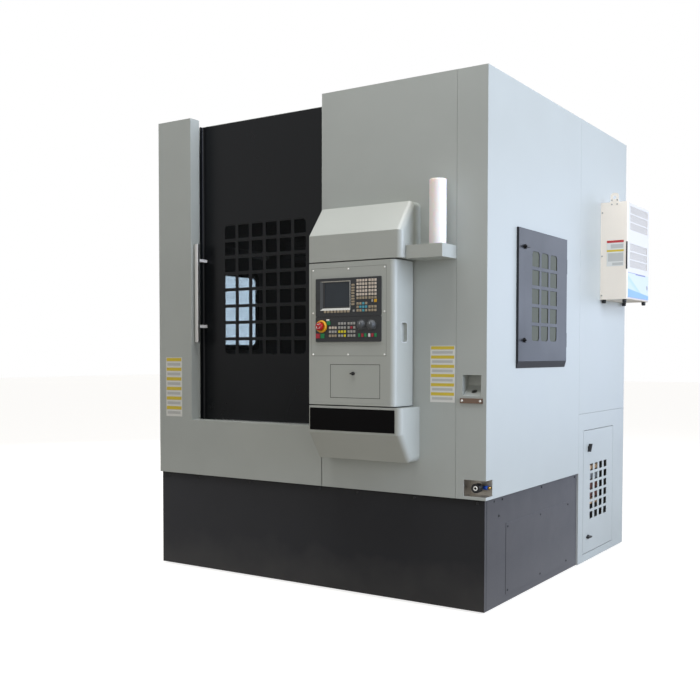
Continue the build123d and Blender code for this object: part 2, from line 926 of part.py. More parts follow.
# Control box: a closed case that swings on pins between the hood and the lower cover
box_z0 = cover_top_z + box_gap
box_z1 = hood_z - box_gap
box_x1 = stack_x + box_w
box_back = front_y - box_back_gap
plate_x0 = stack_x + plate_in
plate_x1 = plate_x0 + plate_w
plate_z1 = box_z1 - plate_top_drop
plate_z0 = plate_z1 - plate_h
display_z = plate_z1 - display_drop - display_h
panel_z = display_z - unit_gap - panel_h
flap_x0 = stack_x + flap_in
flap_x1 = flap_x0 + flap_w
flap_z = box_z0 + flap_up
flap_z1 = flap_z + flap_h
flap_pivot_y = stack_face + flap_pivot_in
flap_pivot_z = flap_z + flap_pivot_up
pivot_x = stack_x + pivot_inset
pivot_y = box_back - pivot_inset
grip_y1 = front_y - grip_back
box_depth = box_back - stack_face
box_mid = (stack_x + box_w / 2, (stack_face + box_back) / 2, (box_z0 + box_z1) / 2)
with BuildPart() as control_box:
    with Locations(box_mid):
        Box(box_w, box_depth, box_z1 - box_z0)
    corner_edges = control_box.edges().filter_by(Axis.Z).sort_by(Axis.Y)[:2]
    fillet(corner_edges.sort_by(Axis.X)[-1], stack_edge_r)
    with BuildSketch(Plane.XY.offset(box_z0 + box_wall)):
        field(stack_x + box_wall, box_x1 - box_wall, stack_face + box_front_wall, box_back - box_wall)
        inner_corner = vertices().sort_by(Axis.Y)[:2].sort_by(Axis.X)[-1]
        fillet(inner_corner, stack_edge_r - box_wall)
    extrude(amount=box_z1 - box_z0 - 2 * box_wall, mode=Mode.SUBTRACT)
    block(
        plate_x0 - plate_gap, plate_x1 + plate_gap, stack_face - overrun, stack_face + sheet_t,
        plate_z0 - plate_gap, plate_z1 + plate_gap, mode=Mode.SUBTRACT,
    )
    block(
        plate_x0 + plate_ledge, plate_x1 - plate_ledge, stack_face, stack_face + box_front_wall + overrun,
        plate_z0 + plate_ledge, plate_z1 - plate_ledge, mode=Mode.SUBTRACT,
    )
    block(
        flap_x0 - flap_gap, flap_x1 + flap_gap, stack_face - overrun, stack_face + box_front_wall + overrun,
        flap_z - flap_gap, flap_z1 + flap_gap, mode=Mode.SUBTRACT,
    )
    for ear_x in (flap_x0 - flap_gap - flap_ear_w, flap_x1 + flap_gap):
        block(
            ear_x, ear_x + flap_ear_w, stack_face + flap_t, stack_face + flap_t + flap_ear_h,
            flap_z - flap_gap, flap_z - flap_gap + flap_ear_h,
        )
    post_at(
        flap_x0 - flap_gap, flap_pivot_y, flap_pivot_z, flap_pin_r,
        flap_gap + 2 * sheet_t, (1, 0, 0),
    )
    post_at(
        flap_x1 + flap_gap, flap_pivot_y, flap_pivot_z, flap_pin_r,
        flap_gap + 2 * sheet_t, (-1, 0, 0),
    )
    block(
        box_x1 - grip_d - grip_wall, box_x1 - box_wall, grip_y1 - grip_w - grip_wall, grip_y1 + grip_wall,
        grip_mid_z - grip_h / 2 - grip_wall, grip_mid_z + grip_h / 2 + grip_wall,
    )
    with BuildSketch(side_plane.offset(box_x1 - right_x)):
        field(
            grip_y1 - grip_w, grip_y1, grip_mid_z - grip_h / 2, grip_mid_z + grip_h / 2, grip_corner_r,
        )
    extrude(amount=-grip_d, mode=Mode.SUBTRACT)
    post_at(
        pivot_x, pivot_y, box_z0 - overrun, pivot_r + run_gap,
        box_z1 - box_z0 + 2 * overrun, (0, 0, 1), Mode.SUBTRACT,
    )
keep(control_box, "control_box")

estop_x = stack_x + unit_in + estop_in
estop_z = panel_z + estop_up
knob_z = panel_z + knob_up
knob_xs = (stack_x + unit_in + knob_in, stack_x + unit_in + knob_in + knob_pitch)
with BuildPart() as panel_plate:
    with BuildSketch(front_plane.offset(stack_d)):
        field(plate_x0, plate_x1, plate_z0, plate_z1)
        with Locations((estop_x, estop_z)):
            Circle(estop_stem_r + run_gap, mode=Mode.SUBTRACT)
        with Locations(*[(x, knob_z) for x in knob_xs]):
            Circle(knob_stem_r + run_gap, mode=Mode.SUBTRACT)
    extrude(amount=-sheet_t)
keep(panel_plate, "panel_plate")

# Display unit and machine panel: two flat bezels on the plate
unit_x0 = stack_x + unit_in
unit_x1 = unit_x0 + unit_w
screen_x0 = unit_x0 + screen_in
screen_z0 = display_z + screen_up
with BuildPart() as panel_units:
    for unit_z, unit_h in ((display_z, display_h), (panel_z, panel_h)):
        with BuildSketch(front_plane.offset(stack_d)):
            field(unit_x0, unit_x1, unit_z, unit_z + unit_h, unit_edge_r)
        extrude(amount=unit_proud)
    block(
        screen_x0, screen_x0 + screen_w, unit_face - overrun, unit_face + screen_recess,
        screen_z0, screen_z0 + screen_h, mode=Mode.SUBTRACT,
    )
    post_at(estop_x, unit_face, estop_z, estop_plate_r, estop_plate_t, (0, -1, 0))
    post_at(
        estop_x, unit_face - estop_plate_t - overrun, estop_z, estop_stem_r + run_gap,
        unit_proud + estop_plate_t + 2 * overrun, (0, 1, 0), Mode.SUBTRACT,
    )
    for knob_x in knob_xs:
        post_at(
            knob_x, unit_face - overrun, knob_z, knob_stem_r + run_gap,
            unit_proud + 2 * overrun, (0, 1, 0), Mode.SUBTRACT,
        )
keep(panel_units, "panel_units")

with BuildPart() as display_screen:
    block(
        screen_x0, screen_x0 + screen_w, unit_face + screen_recess - screen_t, unit_face + screen_recess,
        screen_z0, screen_z0 + screen_h,
    )
keep(display_screen, "display_screen")


def key_grid(x0, z0, cols, rows, pitch_x, pitch_z, width=key, height=key):
    """A block of alike keys in the open sketch, from its lower left key."""
    mid = (x0 + (cols - 1) * pitch_x / 2 + width / 2, z0 + (rows - 1) * pitch_z / 2 + height / 2)
    with Locations(mid):
        with GridLocations(pitch_x, pitch_z, cols, rows):
            Rectangle(width, height)


text_x = unit_x0 + text_block_in
text_top = display_z + display_h - text_block_top
text_z = text_top - (text_rows - 1) * key_row_pitch - key
with BuildPart() as panel_keys:
    with BuildSketch(front_plane.offset(stack_d + unit_proud)):
        key_grid(text_x, text_z, text_cols, text_rows, key_pitch, key_row_pitch)
        key_grid(text_x + text_block_gap, text_z, right_text_cols, text_rows, key_pitch, key_row_pitch)
        key_grid(text_x, display_z + cursor_up, text_cols, cursor_rows, key_pitch, key_row_pitch)
        key_grid(
            text_x + text_block_gap, display_z + cursor_up, right_text_cols, cursor_rows - 1,
            key_pitch, key_row_pitch,
        )
        key_grid(
            unit_x0 + soft_key_in, display_z + soft_key_up, text_cols * 2, 1,
            soft_key_pitch, key_row_pitch, soft_key_w,
        )
        key_grid(
            unit_x0 + side_key_in, display_z + side_key_up, 1, text_cols * 2,
            key_pitch, side_key_pitch, side_key_w, side_key_h,
        )
        for number, rows in enumerate(machine_block_rows):
            key_grid(
                unit_x0 + machine_block_in + number * machine_block_pitch, panel_z + machine_block_up,
                machine_cols, rows, key_pitch, machine_row_pitch,
            )
        for pair_in in switch_pairs_in:
            key_grid(
                unit_x0 + pair_in, panel_z + switch_row_up, machine_cols, 1,
                switch_pitch, key_row_pitch, key, switch_key_h,
            )
    extrude(amount=key_proud)
keep(panel_keys, "panel_keys")

# Emergency stop: a mushroom on a stem that passes through the panel
estop_tip = unit_face - estop_reach
with BuildPart() as estop_button:
    post_at(
        estop_x, estop_tip + estop_head_h, estop_z, estop_stem_r,
        estop_reach - estop_head_h + unit_proud + estop_tail, (0, 1, 0),
    )
    post_at(estop_x, estop_tip, estop_z, estop_head_r, estop_head_h, (0, 1, 0))
    fillet(
        estop_button.edges().filter_by(GeomType.CIRCLE).sort_by(Axis.Y)[0], estop_dome_r,
    )
keep(estop_button, "estop_button")


def override_knob(knob_x):
    """A round skirted knob with a raised grip across it, on its stem."""
    with BuildPart() as knob:
        post_at(knob_x, unit_face - seat_gap, knob_z, knob_skirt_r, knob_skirt_h, (0, -1, 0))
        post_at(knob_x, unit_face - seat_gap, knob_z, knob_r, knob_h / 2, (0, -1, 0))
        wing = knob_r * knob_wing_share
        block(
            knob_x - wing, knob_x + wing, unit_face - seat_gap - knob_h, unit_face - seat_gap - knob_h / 2,
            knob_z - knob_r, knob_z + knob_r,
        )
        post_at(
            knob_x, unit_face - knob_skirt_h, knob_z, knob_stem_r,
            knob_skirt_h + unit_proud + sheet_t, (0, 1, 0),
        )
    return knob


keep(override_knob(knob_xs[0]), "override_knob_left")
keep(override_knob(knob_xs[1]), "override_knob_right")

# Pocket flap: a folded lid that turns on two pins at its lower corners, with a key knob
with BuildPart() as pocket_flap:
    block(flap_x0, flap_x1, stack_face, stack_face + flap_t, flap_z, flap_z1)
    for fold_x in (flap_x0, flap_x1 - flap_t):
        block(
            fold_x, fold_x + flap_t, stack_face + flap_t, stack_face + flap_t + flap_fold,
            flap_z, flap_z1,
        )
        post_at(
            fold_x - overrun, flap_pivot_y, flap_pivot_z, flap_pin_r + run_gap,
            flap_t + 2 * overrun, (1, 0, 0), Mode.SUBTRACT,
        )
    latch_x = (flap_x0 + flap_x1) / 2 - latch_r
    latch_z = flap_z1 - latch_drop
    post_at(
        latch_x, stack_face - overrun, latch_z, latch_stem_r + run_gap, flap_t + 2 * overrun,
        (0, 1, 0), Mode.SUBTRACT,
    )
keep(pocket_flap, "pocket_flap")


def front_latch(x, y, z):
    """A quarter-turn key knob on a front face: a round head, a wing and a stem."""
    with BuildPart() as latch:
        post_at(x, y - seat_gap, z, latch_r, latch_h / 2, (0, -1, 0))
        block(
            x - latch_wing_l / 2, x + latch_wing_l / 2, y - seat_gap - latch_h, y - seat_gap - latch_h / 2,
            z - latch_wing_t / 2, z + latch_wing_t / 2,
        )
        post_at(x, y - seat_gap - latch_h / 2, z, latch_stem_r, latch_h / 2 + flap_t + overrun, (0, 1, 0))
    return latch


keep(front_latch(latch_x, stack_face, latch_z), "flap_latch")

# Lamp tray beside the hood, and the lamp that stands in it
tray_x0 = stack_x1 + tray_gap
with BuildPart() as lamp_tray:
    block(tray_x0, corner_x, front_y - tray_d, front_y, tray_z, tray_z + tray_h)
    block(
        tray_x0 + sheet_t, corner_x - sheet_t, front_y - tray_d + sheet_t, front_y - sheet_t,
        tray_z + sheet_t, tray_z + tray_h, mode=Mode.SUBTRACT,
    )
keep(lamp_tray, "lamp_tray")

with BuildPart() as signal_lamp:
    lamp_x = corner_x - lamp_in
    lamp_y = front_y - lamp_set
    post_at(lamp_x, lamp_y, tray_z + sheet_t, lamp_foot_r, lamp_foot_h, (0, 0, 1))
    post_at(lamp_x, lamp_y, tray_z + sheet_t, lamp_r, lamp_h, (0, 0, 1))
    fillet(signal_lamp.edges().filter_by(GeomType.CIRCLE).sort_by(Axis.Z)[-1], lamp_edge_r)
keep(signal_lamp, "signal_lamp")

# Inspection door: a proud tray with a window grid, a sloped lower band and hinge barrels at its rear
side_face = right_x + side_door_proud
hinge_y = side_y1 + hinge_gap + hinge_barrel_r
hinge_x = right_x + hinge_out
hinge_zs = (side_door_z + hinge_inset, side_z1 - hinge_inset - 2 * hinge_l)
wing_y = side_y0 + wing_in
side_pitch_y = side_pitch_y_share * side_door_w
side_mid_y = side_y0 + side_mid_y_share * side_door_w
with BuildPart() as side_door:
    with BuildSketch(section_plane.offset(right_x)):
        field(side_y0, side_y1, side_door_z, side_z1)
    extrude(amount=side_door_proud)
    band_edge = side_door.edges().filter_by(Axis.Y).group_by(Axis.Z)[0].sort_by(Axis.X)[-1]
    chamfer(band_edge, side_door_proud - side_door_t, side_band_h)
    with BuildSketch(section_plane.offset(right_x)):
        field(
            side_y0 + side_door_t, side_y1 - side_door_t,
            side_door_z + side_band_h, side_z1 - side_door_t,
        )
    extrude(amount=side_door_proud - side_door_t, mode=Mode.SUBTRACT)
    with BuildSketch(section_plane.offset(right_x)):
        with Locations((side_mid_y, side_mid_z)):
            with GridLocations(side_pitch_y, side_pitch_z, side_cols, side_rows):
                Rectangle(side_open_w_share * side_pitch_y, side_open_h)
        outer_columns = vertices().group_by(Axis.Y)[0] + vertices().group_by(Axis.Y)[-1]
        fillet(
            outer_columns.group_by(Axis.Z)[0] + outer_columns.group_by(Axis.Z)[-1], side_corner_r,
        )
    extrude(amount=side_door_proud + overrun, mode=Mode.SUBTRACT)
    for wing_z in (wing_lower_z, wing_upper_z):
        post_at(
            side_face + overrun, wing_y, wing_z, wing_stem_r + run_gap,
            side_door_t + 2 * overrun, (-1, 0, 0), Mode.SUBTRACT,
        )
    for barrel_z in hinge_zs:
        post_at(hinge_x, hinge_y, barrel_z + hinge_l + seat_gap, hinge_barrel_r, hinge_l, (0, 0, 1))
        block(
            hinge_x - hinge_leaf_t, hinge_x + seam, side_y1 - side_door_t, hinge_y,
            barrel_z + hinge_l + seat_gap, barrel_z + 2 * hinge_l + seat_gap,
        )
        post_at(
            hinge_x, hinge_y, barrel_z + hinge_l, hinge_r + run_gap,
            hinge_l + 2 * overrun, (0, 0, 1), Mode.SUBTRACT,
        )
keep(side_door, "side_door")

side_half_w = side_cols * side_pitch_y / 2
side_half_h = side_rows * side_pitch_z / 2
with BuildPart() as side_door_glass:
    with BuildSketch(section_plane.offset(side_face - side_door_t)):
        field(
            side_mid_y - side_half_w, side_mid_y + side_half_w,
            side_mid_z - side_half_h, side_mid_z + side_half_h, side_corner_r,
        )
    extrude(amount=-glass_t)
keep(side_door_glass, "side_door_glass")


def wing_latch(x, y, z, turn):
    """A wing knob on a side face: a round base, a long wing turned by some degrees and a stem."""
    with BuildPart() as latch:
        post_at(x + seat_gap, y, z, wing_r, wing_h, (1, 0, 0))
        with BuildSketch(Plane(origin=(x + seat_gap, y, z), x_dir=(0, 1, 0), z_dir=(1, 0, 0))):
            SlotOverall(wing_l, wing_t, rotation=turn)
        extrude(amount=wing_h + wing_rise)
        post_at(x + wing_h, y, z, wing_stem_r, wing_h + wing_stem_l, (-1, 0, 0))
    return latch


keep(wing_latch(side_face, wing_y, wing_upper_z, wing_deg), "side_latch_upper")
keep(wing_latch(side_face, wing_y, wing_lower_z, wing_deg), "side_latch_lower")

# Vented electrics door, set flush in its doorway and turning on pins near its rear edge
vent_pitch_y = vent_pitch_y_share * vent_door_w
vent_mid_y = vent_y0 + vent_mid_y_share * vent_door_w
vent_latch_y = vent_y0 + vent_latch_in
with BuildPart() as vent_door:
    with BuildSketch(side_plane):
        field(vent_y0, vent_y1, vent_door_z, vent_z1)
        with Locations((vent_mid_y, vent_mid_z)):
            with GridLocations(vent_pitch_y, vent_pitch_z, vent_cols, vent_rows):
                Rectangle(vent_open_w_share * vent_pitch_y, vent_open_h, mode=Mode.SUBTRACT)
        for latch_z in (vent_latch_lower_z, vent_latch_upper_z):
            with Locations((vent_latch_y, latch_z)):
                Circle(wing_stem_r + run_gap, mode=Mode.SUBTRACT)
    extrude(amount=-sheet_t)
    for fold_z in (vent_door_z, vent_z1 - sheet_t):
        block(
            inner_right - vent_fold, inner_right, vent_y0, vent_y1, fold_z, fold_z + sheet_t,
        )
        post_at(
            vent_pivot_x, vent_pivot_y, fold_z - overrun, vent_pin_r + run_gap,
            sheet_t + 2 * overrun, (0, 0, 1), Mode.SUBTRACT,
        )
keep(vent_door, "vent_door")
keep(wing_latch(right_x, vent_latch_y, vent_latch_upper_z, vent_wing_deg), "vent_latch_upper")
keep(wing_latch(right_x, vent_latch_y, vent_latch_lower_z, wing_deg), "vent_latch_lower")

# Pins fixed to the machine: the control box pivots and the hinges of both side doors
with BuildPart() as hinge_pins:
    for plate_face, way in ((cover_top_z, 1), (hood_z, -1)):
        post_at(
            pivot_x, pivot_y, plate_face, pivot_collar_r, box_gap - seat_gap, (0, 0, way),
        )
        post_at(pivot_x, pivot_y, plate_face, pivot_r, box_gap + pivot_depth, (0, 0, way))
    for pin_z in hinge_zs:
        post_at(hinge_x, hinge_y, pin_z, hinge_barrel_r, hinge_l, (0, 0, 1))
        block(
            right_x, hinge_x, hinge_y - hinge_leaf_t, hinge_y + hinge_leaf_t, pin_z, pin_z + hinge_l,
        )
        post_at(hinge_x, hinge_y, pin_z, hinge_r, 2 * hinge_l, (0, 0, 1))
    for pin_z, way in ((vent_door_z - vent_gap, 1), (vent_z1 + vent_gap, -1)):
        post_at(
            vent_pivot_x, vent_pivot_y, pin_z, vent_pin_r, vent_gap + 2 * sheet_t, (0, 0, way),
        )
keep(hinge_pins, "hinge_pins")

# Air conditioner: one case with two groups of louvre openings and a lifting eye
ac_y1 = rear_y - ac_rear_in
ac_y0 = ac_y1 - ac_w
ac_z = body_h - ac_top_in - ac_h
ac_mid_y = (ac_y0 + ac_y1) / 2
louvre_mids = [ac_z + louvre_up + louvre_count * louvre_pitch / 2 for louvre_up in louvre_ups]
with BuildPart() as ac_shell:
    block(right_x, right_x + ac_d, ac_y0, ac_y1, ac_z, ac_z + ac_h)
    outer_face = ac_shell.faces().sort_by(Axis.X)[-1]
    fillet(outer_face.edges(), ac_edge_r)
    block(
        right_x, right_x + ac_d - ac_wall, ac_y0 + ac_wall, ac_y1 - ac_wall,
        ac_z + ac_wall, ac_z + ac_h - ac_wall, mode=Mode.SUBTRACT,
    )
    with BuildSketch(side_plane.offset(ac_d)):
        for louvre_mid in louvre_mids:
            with Locations((ac_mid_y, louvre_mid)):
                with GridLocations(louvre_w, louvre_pitch, 1, louvre_count):
                    Rectangle(louvre_w, louvre_h)
    extrude(amount=-ac_wall, mode=Mode.SUBTRACT)
    eye_x = right_x + ac_d / 2
    with BuildSketch(front_plane.offset(front_y - ac_y0 - eye_t)):
        field(eye_x - eye_w / 2, eye_x + eye_w / 2, ac_z + ac_h - eye_h, ac_z + ac_h + eye_h)
        fillet(vertices().group_by(Axis.Y)[-1], eye_r)
        with Locations((eye_x, ac_z + ac_h + eye_h / 2)):
            Circle(eye_hole_r, mode=Mode.SUBTRACT)
    extrude(amount=eye_t)

# Its four walls and the bars of its front are cut apart, so that none of them is hollow
grille_plane = side_plane.offset(ac_d - ac_wall)
with BuildPart() as ac_walls:
    add(ac_shell.part)
    split(bisect_by=grille_plane, keep=Keep.BOTTOM)
    cut_across(front_plane, (front_y - ac_y0 - ac_wall, front_y - ac_y1 + ac_wall))
with BuildPart() as ac_grille:
    add(ac_shell.part)
    split(bisect_by=grille_plane, keep=Keep.TOP)
    for louvre_mid in louvre_mids:
        for number in range(louvre_count):
            slot_z = louvre_mid + (number - (louvre_count - 1) / 2) * louvre_pitch
            cut_across(Plane.XY, (slot_z - louvre_h / 2, slot_z + louvre_h / 2))
keep_apart("ac_case", ac_walls, ac_grille)

# Base casting: an L-shaped hollow bed, open below, on levelling feet
base_x0 = left_x + base_left
base_x1 = spindle_x + base_past_spindle
base_x2 = right_x - base_right_in
base_y0 = front_y + base_front
base_y1 = base_y0 + base_front_d
base_y2 = rear_y - base_rear_in
with BuildPart() as base_casting:
    with BuildSketch(Plane.XY.offset(base_z)) as base_plan:
        with BuildLine():
            Polyline(
                (base_x0, base_y0), (base_x1, base_y0), (base_x1, base_y1),
                (base_x2, base_y1), (base_x2, base_y2), (base_x0, base_y2), close=True,
            )
        make_face()
    extrude(amount=base_h)
    with BuildSketch(Plane.XY.offset(base_z)):
        field(base_x0 + base_wall, base_x1 - base_wall, base_y0 + base_wall, base_y1 - base_wall / 2)
        field(base_x0 + base_wall, base_x2 - base_wall, base_y1 + base_wall / 2, base_y2 - base_wall)
    extrude(amount=base_h - base_deck, mode=Mode.SUBTRACT)
    post_at(
        *spindle_mid, base_z, housing_r + run_gap, base_h + overrun, (0, 0, 1), Mode.SUBTRACT,
    )
    block(
        base_x1 - base_wall - overrun, base_x1 + overrun,
        spindle_mid[1] - belt_window_w / 2, spindle_mid[1] + belt_window_w / 2,
        belt_window_z, belt_window_z + belt_window_h, mode=Mode.SUBTRACT,
    )
keep(base_casting, "base_casting")

foot_in = base_wall / 2
with BuildPart() as levelling_feet:
    for foot_x, foot_y in (
        (base_x0 + foot_in, base_y0 + foot_in), (base_x1 - foot_in, base_y0 + foot_in),
        (base_x0 + foot_in, base_y1), (base_x2 - foot_in, base_y1 + foot_in),
        (base_x0 + foot_in, base_y2 - foot_in), (base_x2 - foot_in, base_y2 - foot_in),
    ):
        post_at(foot_x, foot_y, 0, foot_r, foot_h, (0, 0, 1))
        post_at(foot_x, foot_y, 0, foot_stem_r, base_z, (0, 0, 1))
keep(levelling_feet, "levelling_feet")

# Column: a casting open at its back, with one cross rib
column_x0 = left_x + column_left
column_x1 = base_x2
column_y0 = front_y + column_y
column_y1 = rear_y - column_rear_in
column_top = roof_z - column_clear
with BuildPart() as column_casting:
    block(column_x0, column_x1, column_y0, column_y1, base_top, column_top)
    rib_z = (base_top + column_top) / 2
    for bay_z0, bay_z1 in (
        (base_top + column_wall, rib_z - column_rib / 2),
        (rib_z + column_rib / 2, column_top - column_wall),
    ):
        block(
            column_x0 + column_wall, column_x1 - column_wall,
            column_y0 + column_front_wall, column_y1 + overrun, bay_z0, bay_z1, mode=Mode.SUBTRACT,
        )
keep(column_casting, "column_casting")

# Spindle: housing through the deck, shaft with its pulley, chuck and jaws
nose_z = base_top + housing_flange_t + housing_nose_h
chuck_z = nose_z + spindle_lift + spindle_nose_t
with BuildPart() as spindle_housing:
    post_at(*spindle_mid, housing_foot_z, housing_r, base_top - housing_foot_z, (0, 0, 1))
    post_at(*spindle_mid, base_top, housing_flange_r, housing_flange_t, (0, 0, 1))
    post_at(*spindle_mid, base_top, housing_nose_r, housing_flange_t + housing_nose_h, (0, 0, 1))
    post_at(
        *spindle_mid, housing_foot_z - overrun, journal_r + run_gap,
        nose_z - housing_foot_z + 2 * overrun, (0, 0, 1), Mode.SUBTRACT,
    )
keep(spindle_housing, "spindle_housing")

with BuildPart() as spindle_shaft:
    post_at(*spindle_mid, housing_foot_z, journal_r, chuck_z - housing_foot_z, (0, 0, 1))
    post_at(*spindle_mid, nose_z + spindle_lift, spindle_nose_r, spindle_nose_t, (0, 0, 1))
    post_at(*spindle_mid, pulley_z, spindle_tail_r, housing_foot_z - pulley_z, (0, 0, 1))
    post_at(*spindle_mid, pulley_z, spindle_pulley_r, pulley_h, (0, 0, 1))
keep(spindle_shaft, "spindle_shaft")

chuck_top = chuck_z + chuck_h
with BuildPart() as chuck_body:
    post_at(*spindle_mid, chuck_z, chuck_r, chuck_h, (0, 0, 1))
    fillet(chuck_body.edges().filter_by(GeomType.CIRCLE), chuck_edge_r)
    post_at(*spindle_mid, chuck_z + chuck_h / 2, chuck_bore_r, chuck_h, (0, 0, 1), Mode.SUBTRACT)
    with BuildSketch(Plane.XY.offset(chuck_top)):
        with Locations(spindle_mid):
            with PolarLocations((jaw_slot_in + chuck_r + overrun) / 2, jaw_count, start_angle=90):
                Rectangle(chuck_r + overrun - jaw_slot_in, jaw_tongue_w + 2 * jaw_gap)
    extrude(amount=-(jaw_tongue_h + jaw_gap), mode=Mode.SUBTRACT)
keep(chuck_body, "chuck_body")


def chuck_jaw(angle):
    """A stepped jaw on its tongue, pointing in along a radius of the chuck."""
    radial = (cos(radians(angle)), sin(radians(angle)), 0)
    across = (sin(radians(angle)), -cos(radians(angle)), 0)
    section = Plane(origin=(*spindle_mid, chuck_top), x_dir=radial, z_dir=across)
    with BuildPart() as jaw:
        with BuildSketch(section):
            with BuildLine():
                Polyline(
                    (jaw_in, jaw_gap), (jaw_in + jaw_l, jaw_gap), (jaw_in + jaw_l, jaw_h),
                    (jaw_in + jaw_step_l, jaw_h), (jaw_in + jaw_step_l, jaw_step_h),
                    (jaw_in, jaw_step_h), close=True,
                )
            make_face()
        extrude(amount=jaw_w / 2, both=True)
        with BuildSketch(section):
            field(jaw_in, jaw_in + jaw_l, -jaw_tongue_h, jaw_gap)
        extrude(amount=jaw_tongue_w / 2, both=True)
    return jaw


for number in range(jaw_count):
    keep(chuck_jaw(90 + number * 360 / jaw_count), "chuck_jaw_" + "abc"[number])

# Spindle drive: motor on its bracket, motor pulley and the belt
motor_mid = (spindle_mid[0] + motor_out, spindle_mid[1])
motor_z = bracket_z + bracket_t
with BuildPart() as spindle_motor:
    block(
        base_x1, motor_mid[0] + motor_size / 2 + bracket_t,
        motor_mid[1] - belt_window_w / 2, motor_mid[1] + belt_window_w / 2, bracket_z, motor_z,
    )
    block(
        base_x1, base_x1 + bracket_t, motor_mid[1] - belt_window_w / 2,
        motor_mid[1] + belt_window_w / 2, motor_z, motor_z + motor_h,
    )
    with BuildSketch(Plane.XY.offset(motor_z)):
        with Locations(motor_mid):
            RectangleRounded(motor_size, motor_size, motor_corner_r)
    extrude(amount=motor_h)
    post_at(*motor_mid, motor_z + motor_h, motor_cap_r, motor_cap_h, (0, 0, 1))
    post_at(
        *motor_mid, bracket_z - overrun, motor_shaft_r + run_gap,
        bracket_t + motor_shaft_in + overrun, (0, 0, 1), Mode.SUBTRACT,
    )
keep(spindle_motor, "spindle_motor")

with BuildPart() as motor_pulley:
    post_at(*motor_mid, pulley_z, motor_pulley_r, pulley_h, (0, 0, 1))
    post_at(
        *motor_mid, pulley_z, motor_shaft_r,
        motor_z + motor_shaft_in - pulley_z - overrun, (0, 0, 1),
    )
keep(motor_pulley, "motor_pulley")

with BuildPart() as drive_belt:
    with BuildSketch(Plane.XY.offset(pulley_z + (pulley_h - belt_w) / 2)):
        with Locations(spindle_mid):
            Circle(spindle_pulley_r + seat_gap + belt_t)
        with Locations(motor_mid):
            Circle(motor_pulley_r + seat_gap + belt_t)
        make_hull()
        with BuildSketch(mode=Mode.PRIVATE) as belt_inside:
            with Locations(spindle_mid):
                Circle(spindle_pulley_r + seat_gap)
            with Locations(motor_mid):
                Circle(motor_pulley_r + seat_gap)
            make_hull()
        add(belt_inside.sketch, mode=Mode.SUBTRACT)
    extrude(amount=belt_w)
keep(drive_belt, "drive_belt")

# Chip pan around the spindle nose, from wall to wall
pan_z = base_top + housing_flange_t
pan_y0 = front_y + sill_shelf_d
with BuildPart() as chip_pan:
    with BuildSketch(Plane.XY.offset(pan_z)):
        field(inner_left, inner_right, pan_y0, column_y0 - seam)
        with Locations(spindle_mid):
            Circle(housing_nose_r + overrun, mode=Mode.SUBTRACT)
    extrude(amount=sheet_t)
    block(inner_left, inner_right, pan_y0, pan_y0 + sheet_t, pan_z + sheet_t, sill_z - 2 * sheet_t)
    block(
        inner_left, inner_right, column_y0 - seam - sheet_t, column_y0 - seam,
        pan_z + sheet_t, pan_z + pan_rim_h,
    )
keep(chip_pan, "chip_pan")

# Cross rails and their ball screw on the column's face
x_rail_upper_z = column_top - x_rail_top_in
x_rail_lower_z = x_rail_upper_z - x_rail_pitch
rail_y0 = column_y0 - rail_size
screw_z = (x_rail_lower_z + x_rail_upper_z) / 2
screw_y = column_y0 - rail_size / 2
with BuildPart() as cross_rails:
    for rail_z in (x_rail_lower_z, x_rail_upper_z):
        block(
            column_x0, column_x1, rail_y0, column_y0, rail_z - rail_size / 2, rail_z + rail_size / 2,
        )
    for bearing_x in (column_x0, column_x1 - bearing_w):
        block(
            bearing_x, bearing_x + bearing_w, rail_y0, column_y0,
            screw_z - bearing_w, screw_z + bearing_w,
        )
    post_at(column_x0, screw_y, screw_z, screw_r, column_x1 - column_x0, (1, 0, 0))
    block(
        column_x0 - servo_l, column_x0, screw_y - servo_size / 2, screw_y + servo_size / 2,
        screw_z - servo_size / 2, screw_z + servo_size / 2,
    )
keep(cross_rails, "cross_rails")

